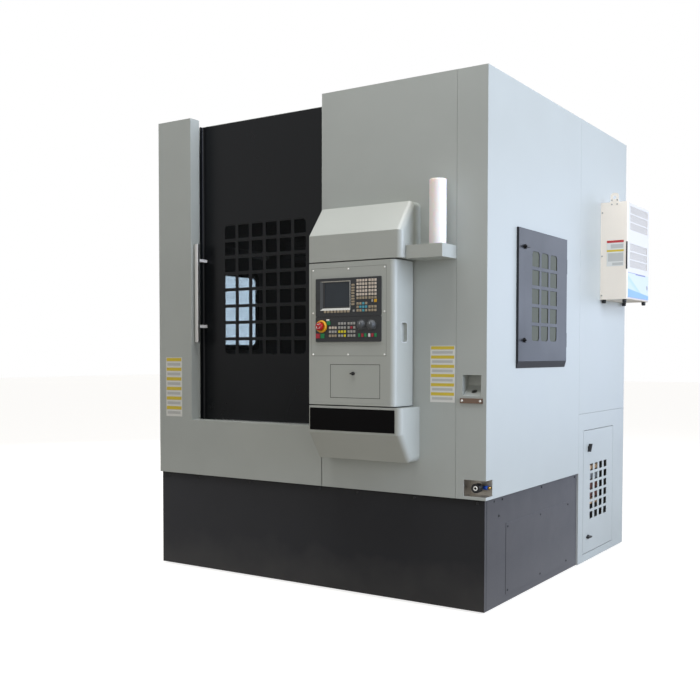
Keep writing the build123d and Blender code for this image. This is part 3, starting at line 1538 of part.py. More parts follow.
# Cross saddle: a plate with grooved carriages on both faces, the ram's screw and its servo
turret_mid_x = column_x1 - turret_in
saddle_z = x_rail_lower_z - saddle_over
saddle_h = x_rail_pitch + 2 * saddle_over
ram_z = x_rail_lower_z + ram_up
ram_h = roof_z - ram_clear - ram_z
ram_nut_z = ram_z + ram_nut_up
turret_z = ram_z + turret_up
saddle_y1 = rail_y0 - rail_gap * 2
saddle_y0 = saddle_y1 - saddle_t
ram_back = front_y + ram_front_y + ram_d
z_rail_y1 = ram_back + z_rail_size
z_screw_y = (ram_back + saddle_y0) / 2
with BuildPart() as cross_saddle:
    block(
        turret_mid_x - saddle_w / 2, turret_mid_x + saddle_w / 2, saddle_y0, saddle_y1,
        saddle_z, saddle_z + saddle_h,
    )
    for rail_z in (x_rail_lower_z, x_rail_upper_z):
        for way in (-1, 1):
            carriage_x = turret_mid_x + way * carriage_set
            block(
                carriage_x - carriage_l / 2, carriage_x + carriage_l / 2, saddle_y1,
                column_y0 - rail_gap * 2, rail_z - carriage_h / 2, rail_z + carriage_h / 2,
            )
        block(
            turret_mid_x - saddle_w, turret_mid_x + saddle_w, rail_y0 - rail_gap, column_y0,
            rail_z - rail_size / 2 - rail_gap, rail_z + rail_size / 2 + rail_gap, mode=Mode.SUBTRACT,
        )
    for block_up in z_block_ups:
        block_z = ram_z + block_up
        for way in (-1, 1):
            guide_x = turret_mid_x + way * z_rail_pitch / 2
            block(
                guide_x - z_block_w / 2, guide_x + z_block_w / 2, ram_back + rail_gap, saddle_y0,
                block_z, block_z + z_block_h,
            )
            block(
                guide_x - z_rail_size / 2 - rail_gap, guide_x + z_rail_size / 2 + rail_gap,
                ram_back, z_rail_y1 + rail_gap, block_z - overrun, block_z + z_block_h + overrun,
                mode=Mode.SUBTRACT,
            )
    servo_z = saddle_z + saddle_h
    block(
        turret_mid_x - servo_size / 2, turret_mid_x + servo_size / 2,
        ram_back + rail_gap, ram_back + rail_gap + servo_size, servo_z, servo_z + servo_l,
    )
    block(
        turret_mid_x - nut_w / 2, turret_mid_x + nut_w / 2, ram_back + rail_gap, saddle_y0,
        saddle_z, saddle_z + bearing_w / 2,
    )
    post_at(turret_mid_x, z_screw_y, saddle_z, screw_r, saddle_h, (0, 0, 1))
    block(
        turret_mid_x - nut_h / 2, turret_mid_x + nut_h / 2, saddle_y1, column_y0 - rail_gap * 2,
        screw_z - nut_w / 2, screw_z + nut_w / 2,
    )
    post_at(
        turret_mid_x - nut_h, screw_y, screw_z, screw_r + rail_gap, 2 * nut_h, (1, 0, 0), Mode.SUBTRACT,
    )
keep(cross_saddle, "cross_saddle")

# Ram: a long slide with rails on its back, a nut and the turret's spigot at its lower end
turret_back_y = front_y + turret_front_y + turret_t
with BuildPart() as z_ram:
    block(
        turret_mid_x - ram_w / 2, turret_mid_x + ram_w / 2, front_y + ram_front_y, ram_back,
        ram_z, ram_z + ram_h,
    )
    for way in (-1, 1):
        guide_x = turret_mid_x + way * z_rail_pitch / 2
        block(
            guide_x - z_rail_size / 2, guide_x + z_rail_size / 2, ram_back, z_rail_y1,
            ram_z, ram_z + ram_h,
        )
    block(
        turret_mid_x - nut_w / 2, turret_mid_x + nut_w / 2, ram_back, saddle_y0 - rail_gap,
        ram_nut_z, ram_nut_z + nut_h,
    )
    post_at(
        turret_mid_x, z_screw_y, ram_nut_z - overrun, screw_r + rail_gap, nut_h + 2 * overrun,
        (0, 0, 1), Mode.SUBTRACT,
    )
    post_at(
        turret_mid_x, turret_back_y + seam, turret_z, ram_flange_r,
        front_y + ram_front_y - turret_back_y - seam, (0, 1, 0),
    )
    post_at(
        turret_mid_x, front_y + ram_front_y - spigot_l, turret_z, spigot_r, spigot_l, (0, 1, 0),
    )
keep(z_ram, "z_ram")

# Turret: an eight-sided disc with a front cap and a tool on every side
with BuildPart() as turret_disc:
    turret_front = Plane(
        origin=(turret_mid_x, front_y + turret_front_y, turret_z), x_dir=(1, 0, 0), z_dir=(0, 1, 0),
    )
    with BuildSketch(turret_front):
        RegularPolygon(turret_r, tool_count, major_radius=False, rotation=180 / tool_count)
    extrude(amount=turret_t)
    with BuildSketch(turret_front):
        Circle(turret_cap_r)
    extrude(amount=-turret_cap_t)
    with BuildSketch(turret_front):
        with PolarLocations(turret_r + tool_block_h / 2, tool_count):
            Rectangle(tool_block_h, tool_block_w)
    extrude(amount=turret_t)
    post_at(
        turret_mid_x, turret_back_y + overrun, turret_z, spigot_r + run_gap,
        spigot_l - (front_y + ram_front_y - turret_back_y) + overrun + seam, (0, -1, 0), Mode.SUBTRACT,
    )
    for number in range(tool_count):
        angle = 2 * pi * number / tool_count
        way = (cos(angle), 0, sin(angle))
        start = turret_r + tool_block_h
        post_at(
            turret_mid_x + start * way[0], front_y + turret_front_y + turret_t / 2,
            turret_z + start * way[2], tool_bar_r, tool_tip_r - start, way,
        )
keep(turret_disc, "turret_disc")
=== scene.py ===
# %% [markdown]
# A vertical lathe, dressed for the camera. The solids of the machine come in as a fixed frame, already in
# place and in metres, so this lesson only adds finishes, small fittings, a floor, lamps and a camera. Pieces
# are placed from the frame's own boxes, or at places in metres that were measured in the photograph.

# %% Load the frame
import math

import bmesh
import bpy
from mathutils import Matrix, Vector


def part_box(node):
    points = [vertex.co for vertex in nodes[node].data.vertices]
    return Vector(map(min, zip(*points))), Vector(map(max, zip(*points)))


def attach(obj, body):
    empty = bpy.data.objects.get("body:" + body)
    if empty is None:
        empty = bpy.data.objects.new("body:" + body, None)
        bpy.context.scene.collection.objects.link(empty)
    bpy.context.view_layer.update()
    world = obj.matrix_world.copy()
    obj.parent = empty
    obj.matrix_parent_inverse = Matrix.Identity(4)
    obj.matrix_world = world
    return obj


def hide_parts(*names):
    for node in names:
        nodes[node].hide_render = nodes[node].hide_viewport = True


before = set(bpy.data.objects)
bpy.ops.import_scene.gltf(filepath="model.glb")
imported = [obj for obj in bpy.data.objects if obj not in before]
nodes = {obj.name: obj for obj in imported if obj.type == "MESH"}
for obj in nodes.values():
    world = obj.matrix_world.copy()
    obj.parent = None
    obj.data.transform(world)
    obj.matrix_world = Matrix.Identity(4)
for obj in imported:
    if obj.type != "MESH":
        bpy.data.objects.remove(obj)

scene = bpy.context.scene
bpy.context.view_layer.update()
MM = 0.001
QUARTER = math.radians(90)
FRONT, REAR, LEFT, RIGHT, UP, DOWN = (0, -1, 0), (0, 1, 0), (-1, 0, 0), (1, 0, 0), (0, 0, 1), (0, 0, -1)
print("pieces in the frame:", len(nodes))

# %% [markdown]
# Colours are easiest to read as the hex values of a paint chart. Blender's shaders work in linear light, so
# one function turns the chart's value into what a shader socket expects. One function adds a node, and a few
# short ones name what the finishes share: a noise, a ramp between two tones, a spread of gloss, a bump. Each
# of these returns its node with the name of the output to link.

# %% Colour and node helpers
def linear(hex_colour):
    """A paint chart's hex value as linear red, green, blue and alpha."""
    shares = [int(hex_colour[i:i + 2], 16) / 255 for i in (1, 3, 5)]
    return [c / 12.92 if c <= 0.04045 else ((c + 0.055) / 1.055) ** 2.4 for c in shares] + [1.0]


def tinted(hex_colour, factor):
    """The same colour, darker or paler by a factor."""
    return [min(1, c * factor) for c in linear(hex_colour)[:3]] + [1]


def set_inputs(tree, node, values):
    """Sets a node's inputs. A value that is a pair of a node and an output's name becomes a link."""
    for socket, value in values.items():
        if isinstance(value, tuple) and isinstance(value[0], bpy.types.Node):
            tree.links.new(value[0].outputs[value[1]], node.inputs[socket])
        else:
            node.inputs[socket].default_value = value


def add_node(tree, kind, values=None):
    """Adds one node with its inputs."""
    node = tree.nodes.new(kind)
    set_inputs(tree, node, values or {})
    return node


def new_finish(name):
    """A named material with its shader node, ready for its own nodes."""
    material = bpy.data.materials.new(name)
    material.use_nodes = True
    return material, material.node_tree, material.node_tree.nodes["Principled BSDF"]


def own_place(tree):
    """The place on the piece in its own metres."""
    return add_node(tree, "ShaderNodeTexCoord"), "Object"


def noise(tree, where, scale, detail):
    """A noise whose scale is one over its grain in metres."""
    return add_node(tree, "ShaderNodeTexNoise", {"Vector": where, "Scale": scale, "Detail": detail}), "Fac"


def ramp(tree, factor, low, high, stops=(0, 1)):
    """A ramp between two linear colours."""
    node = add_node(tree, "ShaderNodeValToRGB", {"Fac": factor})
    for element, stop, colour in zip(node.color_ramp.elements, stops, (low, high)):
        element.position, element.color = stop, colour
    return node, "Color"


def spread(tree, value, low, high, start=0.3, end=0.7):
    """A value spread from low to high over a range, by default the middle of a noise."""
    return add_node(tree, "ShaderNodeMapRange", {
        "Value": value, "From Min": start, "From Max": end, "To Min": low, "To Max": high,
    }), "Result"


def relief(tree, height, strength, depth):
    """A bump from a noise, its depth in metres."""
    return add_node(tree, "ShaderNodeBump", {
        "Strength": strength, "Distance": depth, "Height": height,
    }), "Normal"


def reckon(tree, operation, *values):
    """One step of arithmetic on up to three values."""
    node = add_node(tree, "ShaderNodeMath", dict(enumerate(values)))
    node.operation = operation
    return node, "Value"


# %% [markdown]
# The enclosure is folded steel sheet with a baked powder coat. Powder flows as it bakes and leaves a fine
# orange peel about two or three millimetres across, and big panels are never quite even in tone. The peel
# is a fine noise that drives a bump, and a slow noise of about 400 mm moves the tone and the gloss.

# %% Powder coats and enamels
SLOW_SCALE = 2.5
PEEL_DEPTH = 0.0006


def powder_coat(name, shade, roughness, peel_mm=2.5, peel=0.12, uneven=0.025, shine=0.5):
    """A sprayed and baked paint film: slow change of tone and orange peel, with more or less shine."""
    material, tree, shader = new_finish(name)
    where = own_place(tree)
    slow = noise(tree, where, SLOW_SCALE, 3)
    fine = noise(tree, where, 1 / (peel_mm * MM), 1)
    set_inputs(tree, shader, {
        "Base Color": ramp(tree, slow, tinted(shade, 1 - uneven), tinted(shade, 1 + uneven), (0.35, 0.65)),
        "Roughness": spread(tree, slow, roughness * 0.88, roughness * 1.12),
        "Normal": relief(tree, fine, peel, PEEL_DEPTH), "Specular IOR Level": shine,
    })
    return material


enclosure_grey = powder_coat("powder_coat_light_grey", "#aeb2ad", 0.42, shine=0.4)
control_grey = powder_coat("powder_coat_control_grey", "#aeb1aa", 0.38, peel_mm=2, peel=0.08, shine=0.4)
inner_white = powder_coat("powder_coat_inner_white", "#b9bbb8", 0.5)
door_black = powder_coat("satin_enamel_door", "#0c0e11", 0.3, peel_mm=4, peel=0.05, uneven=0.1, shine=0.2)
inspection_black = powder_coat(
    "satin_enamel_black", "#1d1f23", 0.36, peel_mm=3, peel=0.1, uneven=0.1, shine=0.35,
)
cooler_white = powder_coat("powder_coat_warm_white", "#f0e6d7", 0.4, peel_mm=2)
# The cooling unit's outward face gets this greyer copy of its white, painted shade that holds back the strong
# light on that side.
cooler_face_painted_shade = powder_coat("powder_coat_white_painted_shade", "#cdc9c3", 0.4, peel_mm=2)
motor_black = powder_coat("motor_enamel_black", "#17181a", 0.35, peel_mm=3)
standoff_silver = powder_coat("satin_lacquer_silver", "#f0f0f1", 0.3, peel_mm=2, peel=0.04, shine=0.7)

# %% [markdown]
# The plinth is the part that boots, brooms and coolant reach. Its satin black paint is dusty and scuffed
# towards the floor. Object coordinates start on the floor, so the height itself can mix in the dust, broken
# up by noise so that no straight line shows. A thin sheen is the fine dust that pales the paint where it is
# seen at a low angle.

# %% Plinth paint with floor dust
def plinth_paint():
    """Satin black paint, paler with dust and rubbed marks in the lowest hand's width."""
    material, tree, shader = new_finish("satin_enamel_plinth")
    where = own_place(tree)
    split = add_node(tree, "ShaderNodeSeparateXYZ", {"Vector": where})
    smear = noise(tree, where, 7, 6)
    height = reckon(tree, "SUBTRACT", (split, "Z"), reckon(tree, "MULTIPLY", smear, 0.22))
    dust_low, dust_top, dust_share = -0.1, 0.12, 0.4
    dust = spread(tree, height, dust_share, 0, dust_low, dust_top)
    fine = noise(tree, where, 400, 1)
    set_inputs(tree, shader, {
        "Base Color": ramp(tree, dust, linear("#0f0e0c"), linear("#4a4741")),
        "Roughness": spread(tree, smear, 0.32, 0.48),
        "Normal": relief(tree, fine, 0.12, PEEL_DEPTH), "Specular IOR Level": 0.15,
        "Sheen Weight": 0.55, "Sheen Roughness": 0.5, "Sheen Tint": linear("#eceef8"),
    })
    return material


plinth_black = plinth_paint()

# %% [markdown]
# Inside, the castings are thick enamel over sand-cast iron, with the mould's grain of about 5 mm showing
# through, while slides, chuck and turret are ground or turned. Grinding leaves streaks along one direction,
# so that noise is stretched with a Mapping node. The streaks here are coarser than real ones, which are
# too fine to show.

# %% Castings and bright steel
STREAK_STRETCH = 60


def casting_enamel():
    """Enamel over a sand casting: a soft lumpy grain and a tone that pools in it."""
    material, tree, shader = new_finish("enamel_on_cast_iron")
    grain = noise(tree, own_place(tree), 200, 4)
    set_inputs(tree, shader, {
        "Base Color": ramp(tree, grain, linear("#737874"), linear("#8f948f")),
        "Normal": relief(tree, grain, 0.35, 2 * MM), "Roughness": 0.5,
    })
    return material


def ground_steel(name, shade, roughness, streak_mm, along):
    """Bare steel with machining streaks that run along one direction."""
    material, tree, shader = new_finish(name)
    across = 1 / (streak_mm * MM)
    stretch = [across / STREAK_STRETCH if axis == along else across for axis in "XYZ"]
    lay = add_node(tree, "ShaderNodeMapping", {"Vector": own_place(tree), "Scale": stretch})
    streak = noise(tree, (lay, "Vector"), 1, 3)
    set_inputs(tree, shader, {
        "Base Color": ramp(tree, streak, tinted(shade, 0.86), tinted(shade, 1.1)),
        "Roughness": spread(tree, streak, roughness * 0.8, roughness * 1.25), "Metallic": 1.0,
    })
    return material


casting_grey = casting_enamel()
slide_steel = ground_steel("ground_steel_slides", "#b9babb", 0.3, 2.0, "X")
handle_steel = ground_steel("brushed_stainless_handle", "#c4c3bf", 0.34, 1.2, "Z")
pocket_steel = ground_steel("brushed_stainless_pocket", "#b1aca4", 0.36, 1.5, "X")
screw_zinc = ground_steel("zinc_plated_screws", "#c9c9c4", 0.28, 3.0, "Y")
screw_nickel = ground_steel("nickel_plated_screws", "#e2e1dc", 0.48, 3.0, "Y")
bar_bronze = ground_steel("brushed_bronze_bar", "#7b685c", 0.42, 1.5, "X")
coupling_brass = ground_steel("turned_brass", "#b8924a", 0.28, 1.0, "Z")

# %% [markdown]
# Small fittings are moulded plastic: keys, knobs, bezels, the lamp tube. A mould leaves a fine spark-eroded
# texture of about half a millimetre, drawn here at about one millimetre so that it shows. The panes need
# their own treatment, because light goes through them, and the lamp tube lets a little light in. The
# inspection door's panes are the exception: an opaque olive sheet whose colour is a painted view into the
# room behind.

# %% Moulded plastics, belt and panes
TEXTURE_DEPTH = 0.0004


def moulded(name, shade, roughness, texture=0.1):
    """Moulded plastic with the mould's fine texture, in tone and in relief."""
    material, tree, shader = new_finish(name)
    fine = noise(tree, own_place(tree), 1000, 2)
    set_inputs(tree, shader, {
        "Base Color": ramp(tree, fine, tinted(shade, 0.93), tinted(shade, 1.05)),
        "Normal": relief(tree, fine, texture, TEXTURE_DEPTH), "Roughness": roughness, "IOR": 1.49,
    })
    return material


def pane(name, shade, bend):
    """A clear or tinted pane that light passes through, its shine held low by an anti-glare film."""
    material, tree, shader = new_finish(name)
    film = noise(tree, own_place(tree), 9, 5)
    set_inputs(tree, shader, {
        "Roughness": spread(tree, film, 0.03, 0.09, 0.35, 0.75), "Base Color": linear(shade),
        "Transmission Weight": 1.0, "IOR": bend,
    })
    return material


bezel_black = moulded("abs_bezel_charcoal", "#26282a", 0.45)
key_cream = moulded("abs_key_cream", "#d6c8b8", 0.4)
key_taupe = moulded("abs_key_taupe", "#a5977f", 0.42)
key_grey = moulded("abs_key_grey", "#a9a7a1", 0.42)
stop_red = moulded("abs_stop_red", "#b3121c", 0.25, 0.04)
stop_yellow = moulded("abs_stop_yellow", "#e3a41c", 0.35)
knob_grey = moulded("abs_knob_grey", "#4d5052", 0.55)
latch_black = moulded("nylon_latch_black", "#121315", 0.4)
lamp_milk = moulded("acrylic_lamp_milk", "#f4f1ec", 0.3, 0.03)
lamp_milk.node_tree.nodes["Principled BSDF"].inputs["Subsurface Weight"].default_value = 0.4
module_grey = moulded("polycarbonate_module_grey", "#4b4e50", 0.5)
belt_rubber = moulded("neoprene_belt", "#1a1a1a", 0.7, 0.3)
mark_white = moulded("printed_mark_white", "#e8e8e4", 0.5)
screen_glass = powder_coat(
    "display_glass_dark", "#232a31", 0.12, peel_mm=30, peel=0.01, uneven=0.25, shine=0.3,
)
strip_black = powder_coat(
    "acrylic_sheet_black", "#08080a", 0.1, peel_mm=25, peel=0.02, uneven=0.1, shine=0.2,
)
# The inspection door's panes are an opaque olive sheet: the colour paints the view through them into the
# unlit room behind.
side_pane_painted_view = powder_coat(
    "opaque_pane_with_painted_view", "#4e5042", 0.25, peel_mm=20, peel=0.03, uneven=0.1, shine=0.03,
)
smoked_pane = pane("smoked_laminate", "#6f767f", 1.12)
clear_pane = pane("clear_laminate", "#c6d2d0", 1.3)
print("finishes made:", len(bpy.data.materials))

# %% [markdown]
# Each solid of the frame now gets its finish. A node keeps its shape: only its material slots change. The
# two pockets in the corner panel and their bar are one node, so its faces are told apart by place, and so are
# the door handle's bar and its two silver standoffs. The cooling unit's outer panel is told from its casing
# by the way it faces, and gets a greyer copy of the casing's white: painted shade that holds back the strong
# light on that side.

# %% Finishes on the frame's pieces
node_finish = {
    enclosure_grey: (
        "left_front_frame", "left_wall", "cabinet_front", "corner_panel", "right_side_panel", "roof_panel",
        "electrics_upper_panel", "electrics_lower_panel", "rear_wall", "vent_door",
    ),
    control_grey: (
        "control_hood", "control_base", "control_box", "panel_plate", "pocket_flap", "lamp_tray",
    ),
    plinth_black: ("plinth_panels",),
    door_black: ("door_panel",),
    inspection_black: ("side_door",),
    handle_steel: ("door_handle",),
    smoked_pane: ("door_glass",),
    clear_pane: ("left_window_glass",),
    side_pane_painted_view: ("side_door_glass",),
    cooler_white: ("ac_case",),
    lamp_milk: ("signal_lamp",),
    bezel_black: ("panel_units",),
    screen_glass: ("display_screen",),
    stop_red: ("estop_button",),
    latch_black: (
        "flap_latch", "side_latch_upper", "side_latch_lower", "vent_latch_upper", "vent_latch_lower",
        "hinge_pins", "air_coupling",
    ),
    casting_grey: ("base_casting", "column_casting", "spindle_housing", "cross_saddle", "z_ram"),
    slide_steel: (
        "levelling_feet", "door_tracks", "door_hangers", "spindle_shaft", "chuck_body",
        "chuck_jaw_a", "chuck_jaw_b", "chuck_jaw_c", "motor_pulley", "cross_rails", "turret_disc",
    ),
    motor_black: ("spindle_motor",),
    belt_rubber: ("drive_belt",),
    inner_white: ("electrics_partition", "chip_pan"),
    module_grey: ("electrics_board",),
    pocket_steel: ("corner_pockets",),
}
for finish, names in node_finish.items():
    for name in names:
        nodes[name].data.materials.clear()
        nodes[name].data.materials.append(finish)

pockets = nodes["corner_pockets"].data
pockets.materials.append(enclosure_grey)
pockets.materials.append(bar_bronze)
panel_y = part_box("corner_panel")[0].y
upper_pocket_z, bar_z = 1.035, 1.0
for face in pockets.polygons:
    face.material_index = 1 if face.center.z > upper_pocket_z else 0
    if face.center.y < panel_y and face.center.z > bar_z:
        face.material_index = 2

cooler = nodes["ac_case"].data
cooler.materials.append(cooler_face_painted_shade)
# Faces that point outward along X take the greyer copy, which is painted shade.
for face in cooler.polygons:
    face.material_index = 1 if face.normal.x > 0.9 else 0

handle = nodes["door_handle"].data
handle.materials.append(standoff_silver)
bar_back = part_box("door_handle")[0].y + 30 * MM
for face in handle.polygons:
    face.material_index = 1 if face.center.y > bar_back else 0
print("finished nodes:", sum(len(names) for names in node_finish.values()))

# %% [markdown]
# New pieces all start the same way: a bmesh, a few operators, and a last step that makes the object, turns
# its faces outwards, gives it its finishes and lets it ride on the body that carries it. Plates are cubes
# with bevelled edges. Round fittings are a profile of a few points spun about an axis. Corners and start
# points are in metres, and edges, profiles and radii in millimetres.

# %% Making a piece
def settle(bm, name, body, *finishes):
    """Turns a bmesh into a piece in place, with its finishes, riding on a body."""
    bmesh.ops.recalc_face_normals(bm, faces=bm.faces)
    mesh = bpy.data.meshes.new(name)
    bm.to_mesh(mesh)
    bm.free()
    for finish in finishes:
        mesh.materials.append(finish)
    piece = bpy.data.objects.new(name, mesh)
    scene.collection.objects.link(piece)
    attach(piece, body)
    print(name, "faces:", len(mesh.polygons))
    return piece


def plate(bm, low, high, edge=0, finish=0, segments=2):
    """A block between two corners with its edges rounded over. Returns its vertices."""
    known, known_faces = set(bm.verts), set(bm.faces)
    low, high = Vector(low), Vector(high)
    size = Matrix.Diagonal((*(high - low), 1))
    cube = bmesh.ops.create_cube(bm, size=1, matrix=Matrix.Translation((low + high) / 2) @ size)
    if edge:
        edges = list({e for v in cube["verts"] for e in v.link_edges})
        bmesh.ops.bevel(
            bm, geom=edges, offset=edge * MM, offset_type="OFFSET", segments=segments, profile=0.5,
            affect="EDGES", material=-1,
        )
    for face in bm.faces:
        if face not in known_faces:
            face.material_index = finish
    return [v for v in bm.verts if v not in known]


def turned(bm, profile, start, axis, steps=24, finish=0):
    """A round fitting: a profile of radius and height pairs, spun about an axis from its start point."""
    known, known_faces = set(bm.verts), set(bm.faces)
    points = [bm.verts.new((radius * MM, 0, height * MM)) for radius, height in profile]
    line = [bm.edges.new(pair) for pair in zip(points, points[1:])]
    bmesh.ops.spin(
        bm, geom=points + line, cent=(0, 0, 0), axis=UP, angle=2 * math.pi, steps=steps, use_merge=True,
    )
    bmesh.ops.remove_doubles(bm, verts=[v for v in bm.verts if v not in known], dist=1e-6)
    turn = Vector(UP).rotation_difference(Vector(axis)).to_matrix().to_4x4()
    made = [v for v in bm.verts if v not in known]
    bmesh.ops.transform(bm, matrix=Matrix.Translation(start) @ turn, verts=made)
    for face in bm.faces:
        if face not in known_faces:
            face.material_index = finish
            face.smooth = True


def dome_screw(bm, start, axis, radius, finish=0):
    """A button-head screw with a hexagon recess, drawn as a round one."""
    height = radius * 0.55
    recess = height * 0.4
    turned(bm, [
        (0, recess), (radius * 0.38, recess), (radius * 0.42, height), (radius * 0.75, height * 0.85),
        (radius * 0.97, recess), (radius, 0), (0, 0),
    ], start, axis, 14, finish)


# %% [markdown]
# The operator panel is two dark bezels full of small caps. On the solids the keys are plain blocks, so caps
# with rounded edges stand in for them, one piece in several colours. Their grid is repeated here from the
# bezel's own box: text keys above, arrow keys in a cross, soft keys around the display, and blocks of machine
# keys below.

# %% Key caps
unit_low, unit_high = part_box("panel_units")
face_y = unit_low.y + 4 * MM
unit_x = unit_low.x
display_h = 187
display_z = unit_high.z - display_h * MM
machine_z = unit_low.z
bright_keys = {
    "cyan": "#4f9fb0", "yellow": "#dfcf2c", "green": "#12854a", "red": "#b0283a", "amber": "#d9a21e",
}
bright_finishes = [moulded("abs_key_" + name, shade, 0.4) for name, shade in bright_keys.items()]
CREAM, TAUPE, GREY, CYAN, YELLOW, GREEN, RED, AMBER, WHITE = range(9)
caps = bmesh.new()


def cap(x, z, width, height, finish, proud=2.6):
    """One key cap from its lower left corner, its sizes in millimetres on the bezel."""
    left, right = unit_x + x * MM, unit_x + (x + width) * MM
    plate(caps, (left, face_y - proud * MM, z), (right, face_y + 0.2 * MM, z + height * MM), 1.2, finish)


def cap_block(x, z, colours, pitch_x=16.3, pitch_z=17, width=12, height=12):
    """A block of caps from its lowest row upwards, one colour for each."""
    for row, row_colours in enumerate(colours):
        for column, colour in enumerate(row_colours):
            cap(x + column * pitch_x, z + row * pitch_z * MM, width, height, colour)


left_keys_x, right_keys_x = 243, 311.5
text_z = display_z + (display_h - 10.5 - 85 - 12) * MM
arrow_z = display_z + 18.5 * MM
cap_block(left_keys_x, text_z, [[TAUPE] * 4] + [[CREAM] * 4] * 5)
cap_block(right_keys_x, text_z, [[TAUPE] * 3] + [[CREAM] * 3] * 5)
cap_block(left_keys_x, arrow_z, [
    [TAUPE, TAUPE, CYAN, TAUPE], [TAUPE, CYAN, CYAN, CYAN], [TAUPE, TAUPE, CYAN, TAUPE],
])
cap_block(right_keys_x, arrow_z, [[TAUPE] * 3] * 2)
cap_block(51, display_z + 16 * MM, [[TAUPE] * 8], pitch_x=19.6, width=14)
cap_block(213, display_z + 51 * MM, [[TAUPE]] * 8, pitch_z=13.5, width=18, height=9)
cap(221, display_z + 19 * MM, 10, 10, GREY)
cap(328, display_z + 64 * MM, 9, 12, GREY)
cap(343, display_z + 62 * MM, 15, 15, AMBER)
block_z, lower_row_z = machine_z + 24 * MM, machine_z + 23 * MM
cap_block(81.5, block_z, [[TAUPE] * 3, [GREY] * 3, [CREAM] * 3], pitch_z=20)
cap_block(136.5, block_z, [[GREY, GREY, YELLOW], [YELLOW] * 3, [GREY] * 3, [GREY] * 3], pitch_z=20)
cap_block(191.5, block_z, [[GREY] * 3, [GREY] * 3, [GREY, RED, GREY], [GREY] * 3], pitch_z=20)
cap_block(253, lower_row_z, [[GREEN, RED, GREEN]], pitch_x=17.5, height=17)
cap_block(310, lower_row_z, [[WHITE, RED, GREEN]], pitch_x=17.5, height=17)
cap(3, machine_z + 18 * MM, 24, 24, RED, 3.5)
cap(31, machine_z + 18 * MM, 23, 24, GREEN, 3.5)
cap(68, machine_z + 84 * MM, 21, 19, GREEN, 3.5)
cap(65, machine_z + 104 * MM, 18, 9, WHITE, 1.5)
key_caps = settle(
    caps, "key_caps", "control", key_cream, key_taupe, key_grey, *bright_finishes, mark_white,
)
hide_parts("panel_keys")

# %% [markdown]
# Around the switched-off display runs a mitred frame whose flanks slope in to the glass. The right and upper
# flanks are narrow, the left one is wide and dark, and the lower one is a wide silver ledge that shines. The
# frame is one face: inset to a ring, and the inner corners drawn in to the glass.

# %% Display frame and cover of the side socket
screen_low, screen_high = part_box("display_screen")
frame_y = face_y - 2.2 * MM
frame_low = Vector((screen_low.x - 27 * MM, frame_y, screen_low.z - 18 * MM))
frame_high = Vector((screen_high.x + 7 * MM, frame_y, screen_high.z + 7 * MM))
middle, half = (frame_low + frame_high) / 2, (frame_high - frame_low) / 2
size = Matrix.Diagonal((half.x, 1, half.z, 1))
lie = Matrix.Translation(middle) @ size @ Matrix.Rotation(QUARTER, 4, "X")
bm = bmesh.new()
bmesh.ops.create_grid(bm, x_segments=1, y_segments=1, size=1, matrix=lie)
sheet = bm.faces[:][0]
flanks = bmesh.ops.inset_region(
    bm, faces=[sheet], thickness=5 * MM, use_boundary=True, use_even_offset=True,
)["faces"]
for v in sheet.verts:
    v.co.x = screen_low.x if v.co.x < middle.x else screen_high.x
    v.co.z = screen_low.z if v.co.z < middle.z else screen_high.z
    v.co.y = face_y + 1.5 * MM
bmesh.ops.delete(bm, geom=[sheet], context="FACES_ONLY")
for face in flanks:
    face.material_index = 1 if face.calc_center_median().x < screen_low.x else 0
bmesh.ops.solidify(bm, geom=flanks, thickness=1 * MM)
settle(bm, "display_frame", "control", screw_zinc, knob_grey)

bm = bmesh.new()
for x0, x1, y0, y1, z0, z1, edge in (
    (unit_x + 4 * MM, unit_x + 31 * MM, -2, 0, 1.499, 1.563, 1.5),
    (unit_x + 8 * MM, unit_x + 27 * MM, -3, -1.5, 1.506, 1.556, 1.2),
    (unit_x + 2 * MM, unit_high.x - 2 * MM, -1, 6, 1.4295, 1.4325, 0.5),
):
    plate(bm, (x0, face_y + y0 * MM, z0), (x1, face_y + y1 * MM, z1), edge)
settle(bm, "socket_cover", "control", bezel_black)

# %% [markdown]
# The emergency stop sits in a yellow collar, a cone that guards its stem, and three plain arcs on its head
# show which way it turns. The override knobs are skirted, with a fluted grip: a spun profile whose alternate
# columns are drawn in. Short white ticks stand round each on the bezel.

# %% Stop collar, arcs, override knobs and ticks
stop_low, stop_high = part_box("estop_button")
stop = (stop_low + stop_high) / 2
bm = bmesh.new()
turned(bm, [
    (13, 8), (20.5, 8), (22, 12), (26, 13), (29.5, 11), (31, 6), (31, -0.2), (13, -0.2), (13, 8),
], (stop.x, face_y, stop.z), FRONT, 40)
settle(bm, "stop_collar", "control", stop_yellow)

arc_count, arc_inner, arc_outer, arc_angle = 3, 9.5, 12.5, 1.2
bm = bmesh.new()
for turn in range(arc_count):
    start = turn * 2 * math.pi / arc_count
    points = [
        bm.verts.new((r * math.cos(start) * MM, 0, r * math.sin(start) * MM)) for r in (arc_inner, arc_outer)
    ]
    edge = bm.edges.new(points)
    bmesh.ops.spin(bm, geom=[*points, edge], cent=(0, 0, 0), axis=REAR, angle=arc_angle, steps=8)
place = Matrix.Translation((stop.x, stop_low.y - 0.15 * MM, stop.z))
bmesh.ops.transform(bm, matrix=place, verts=bm.verts)
settle(bm, "stop_arcs", "stop_button", mark_white)


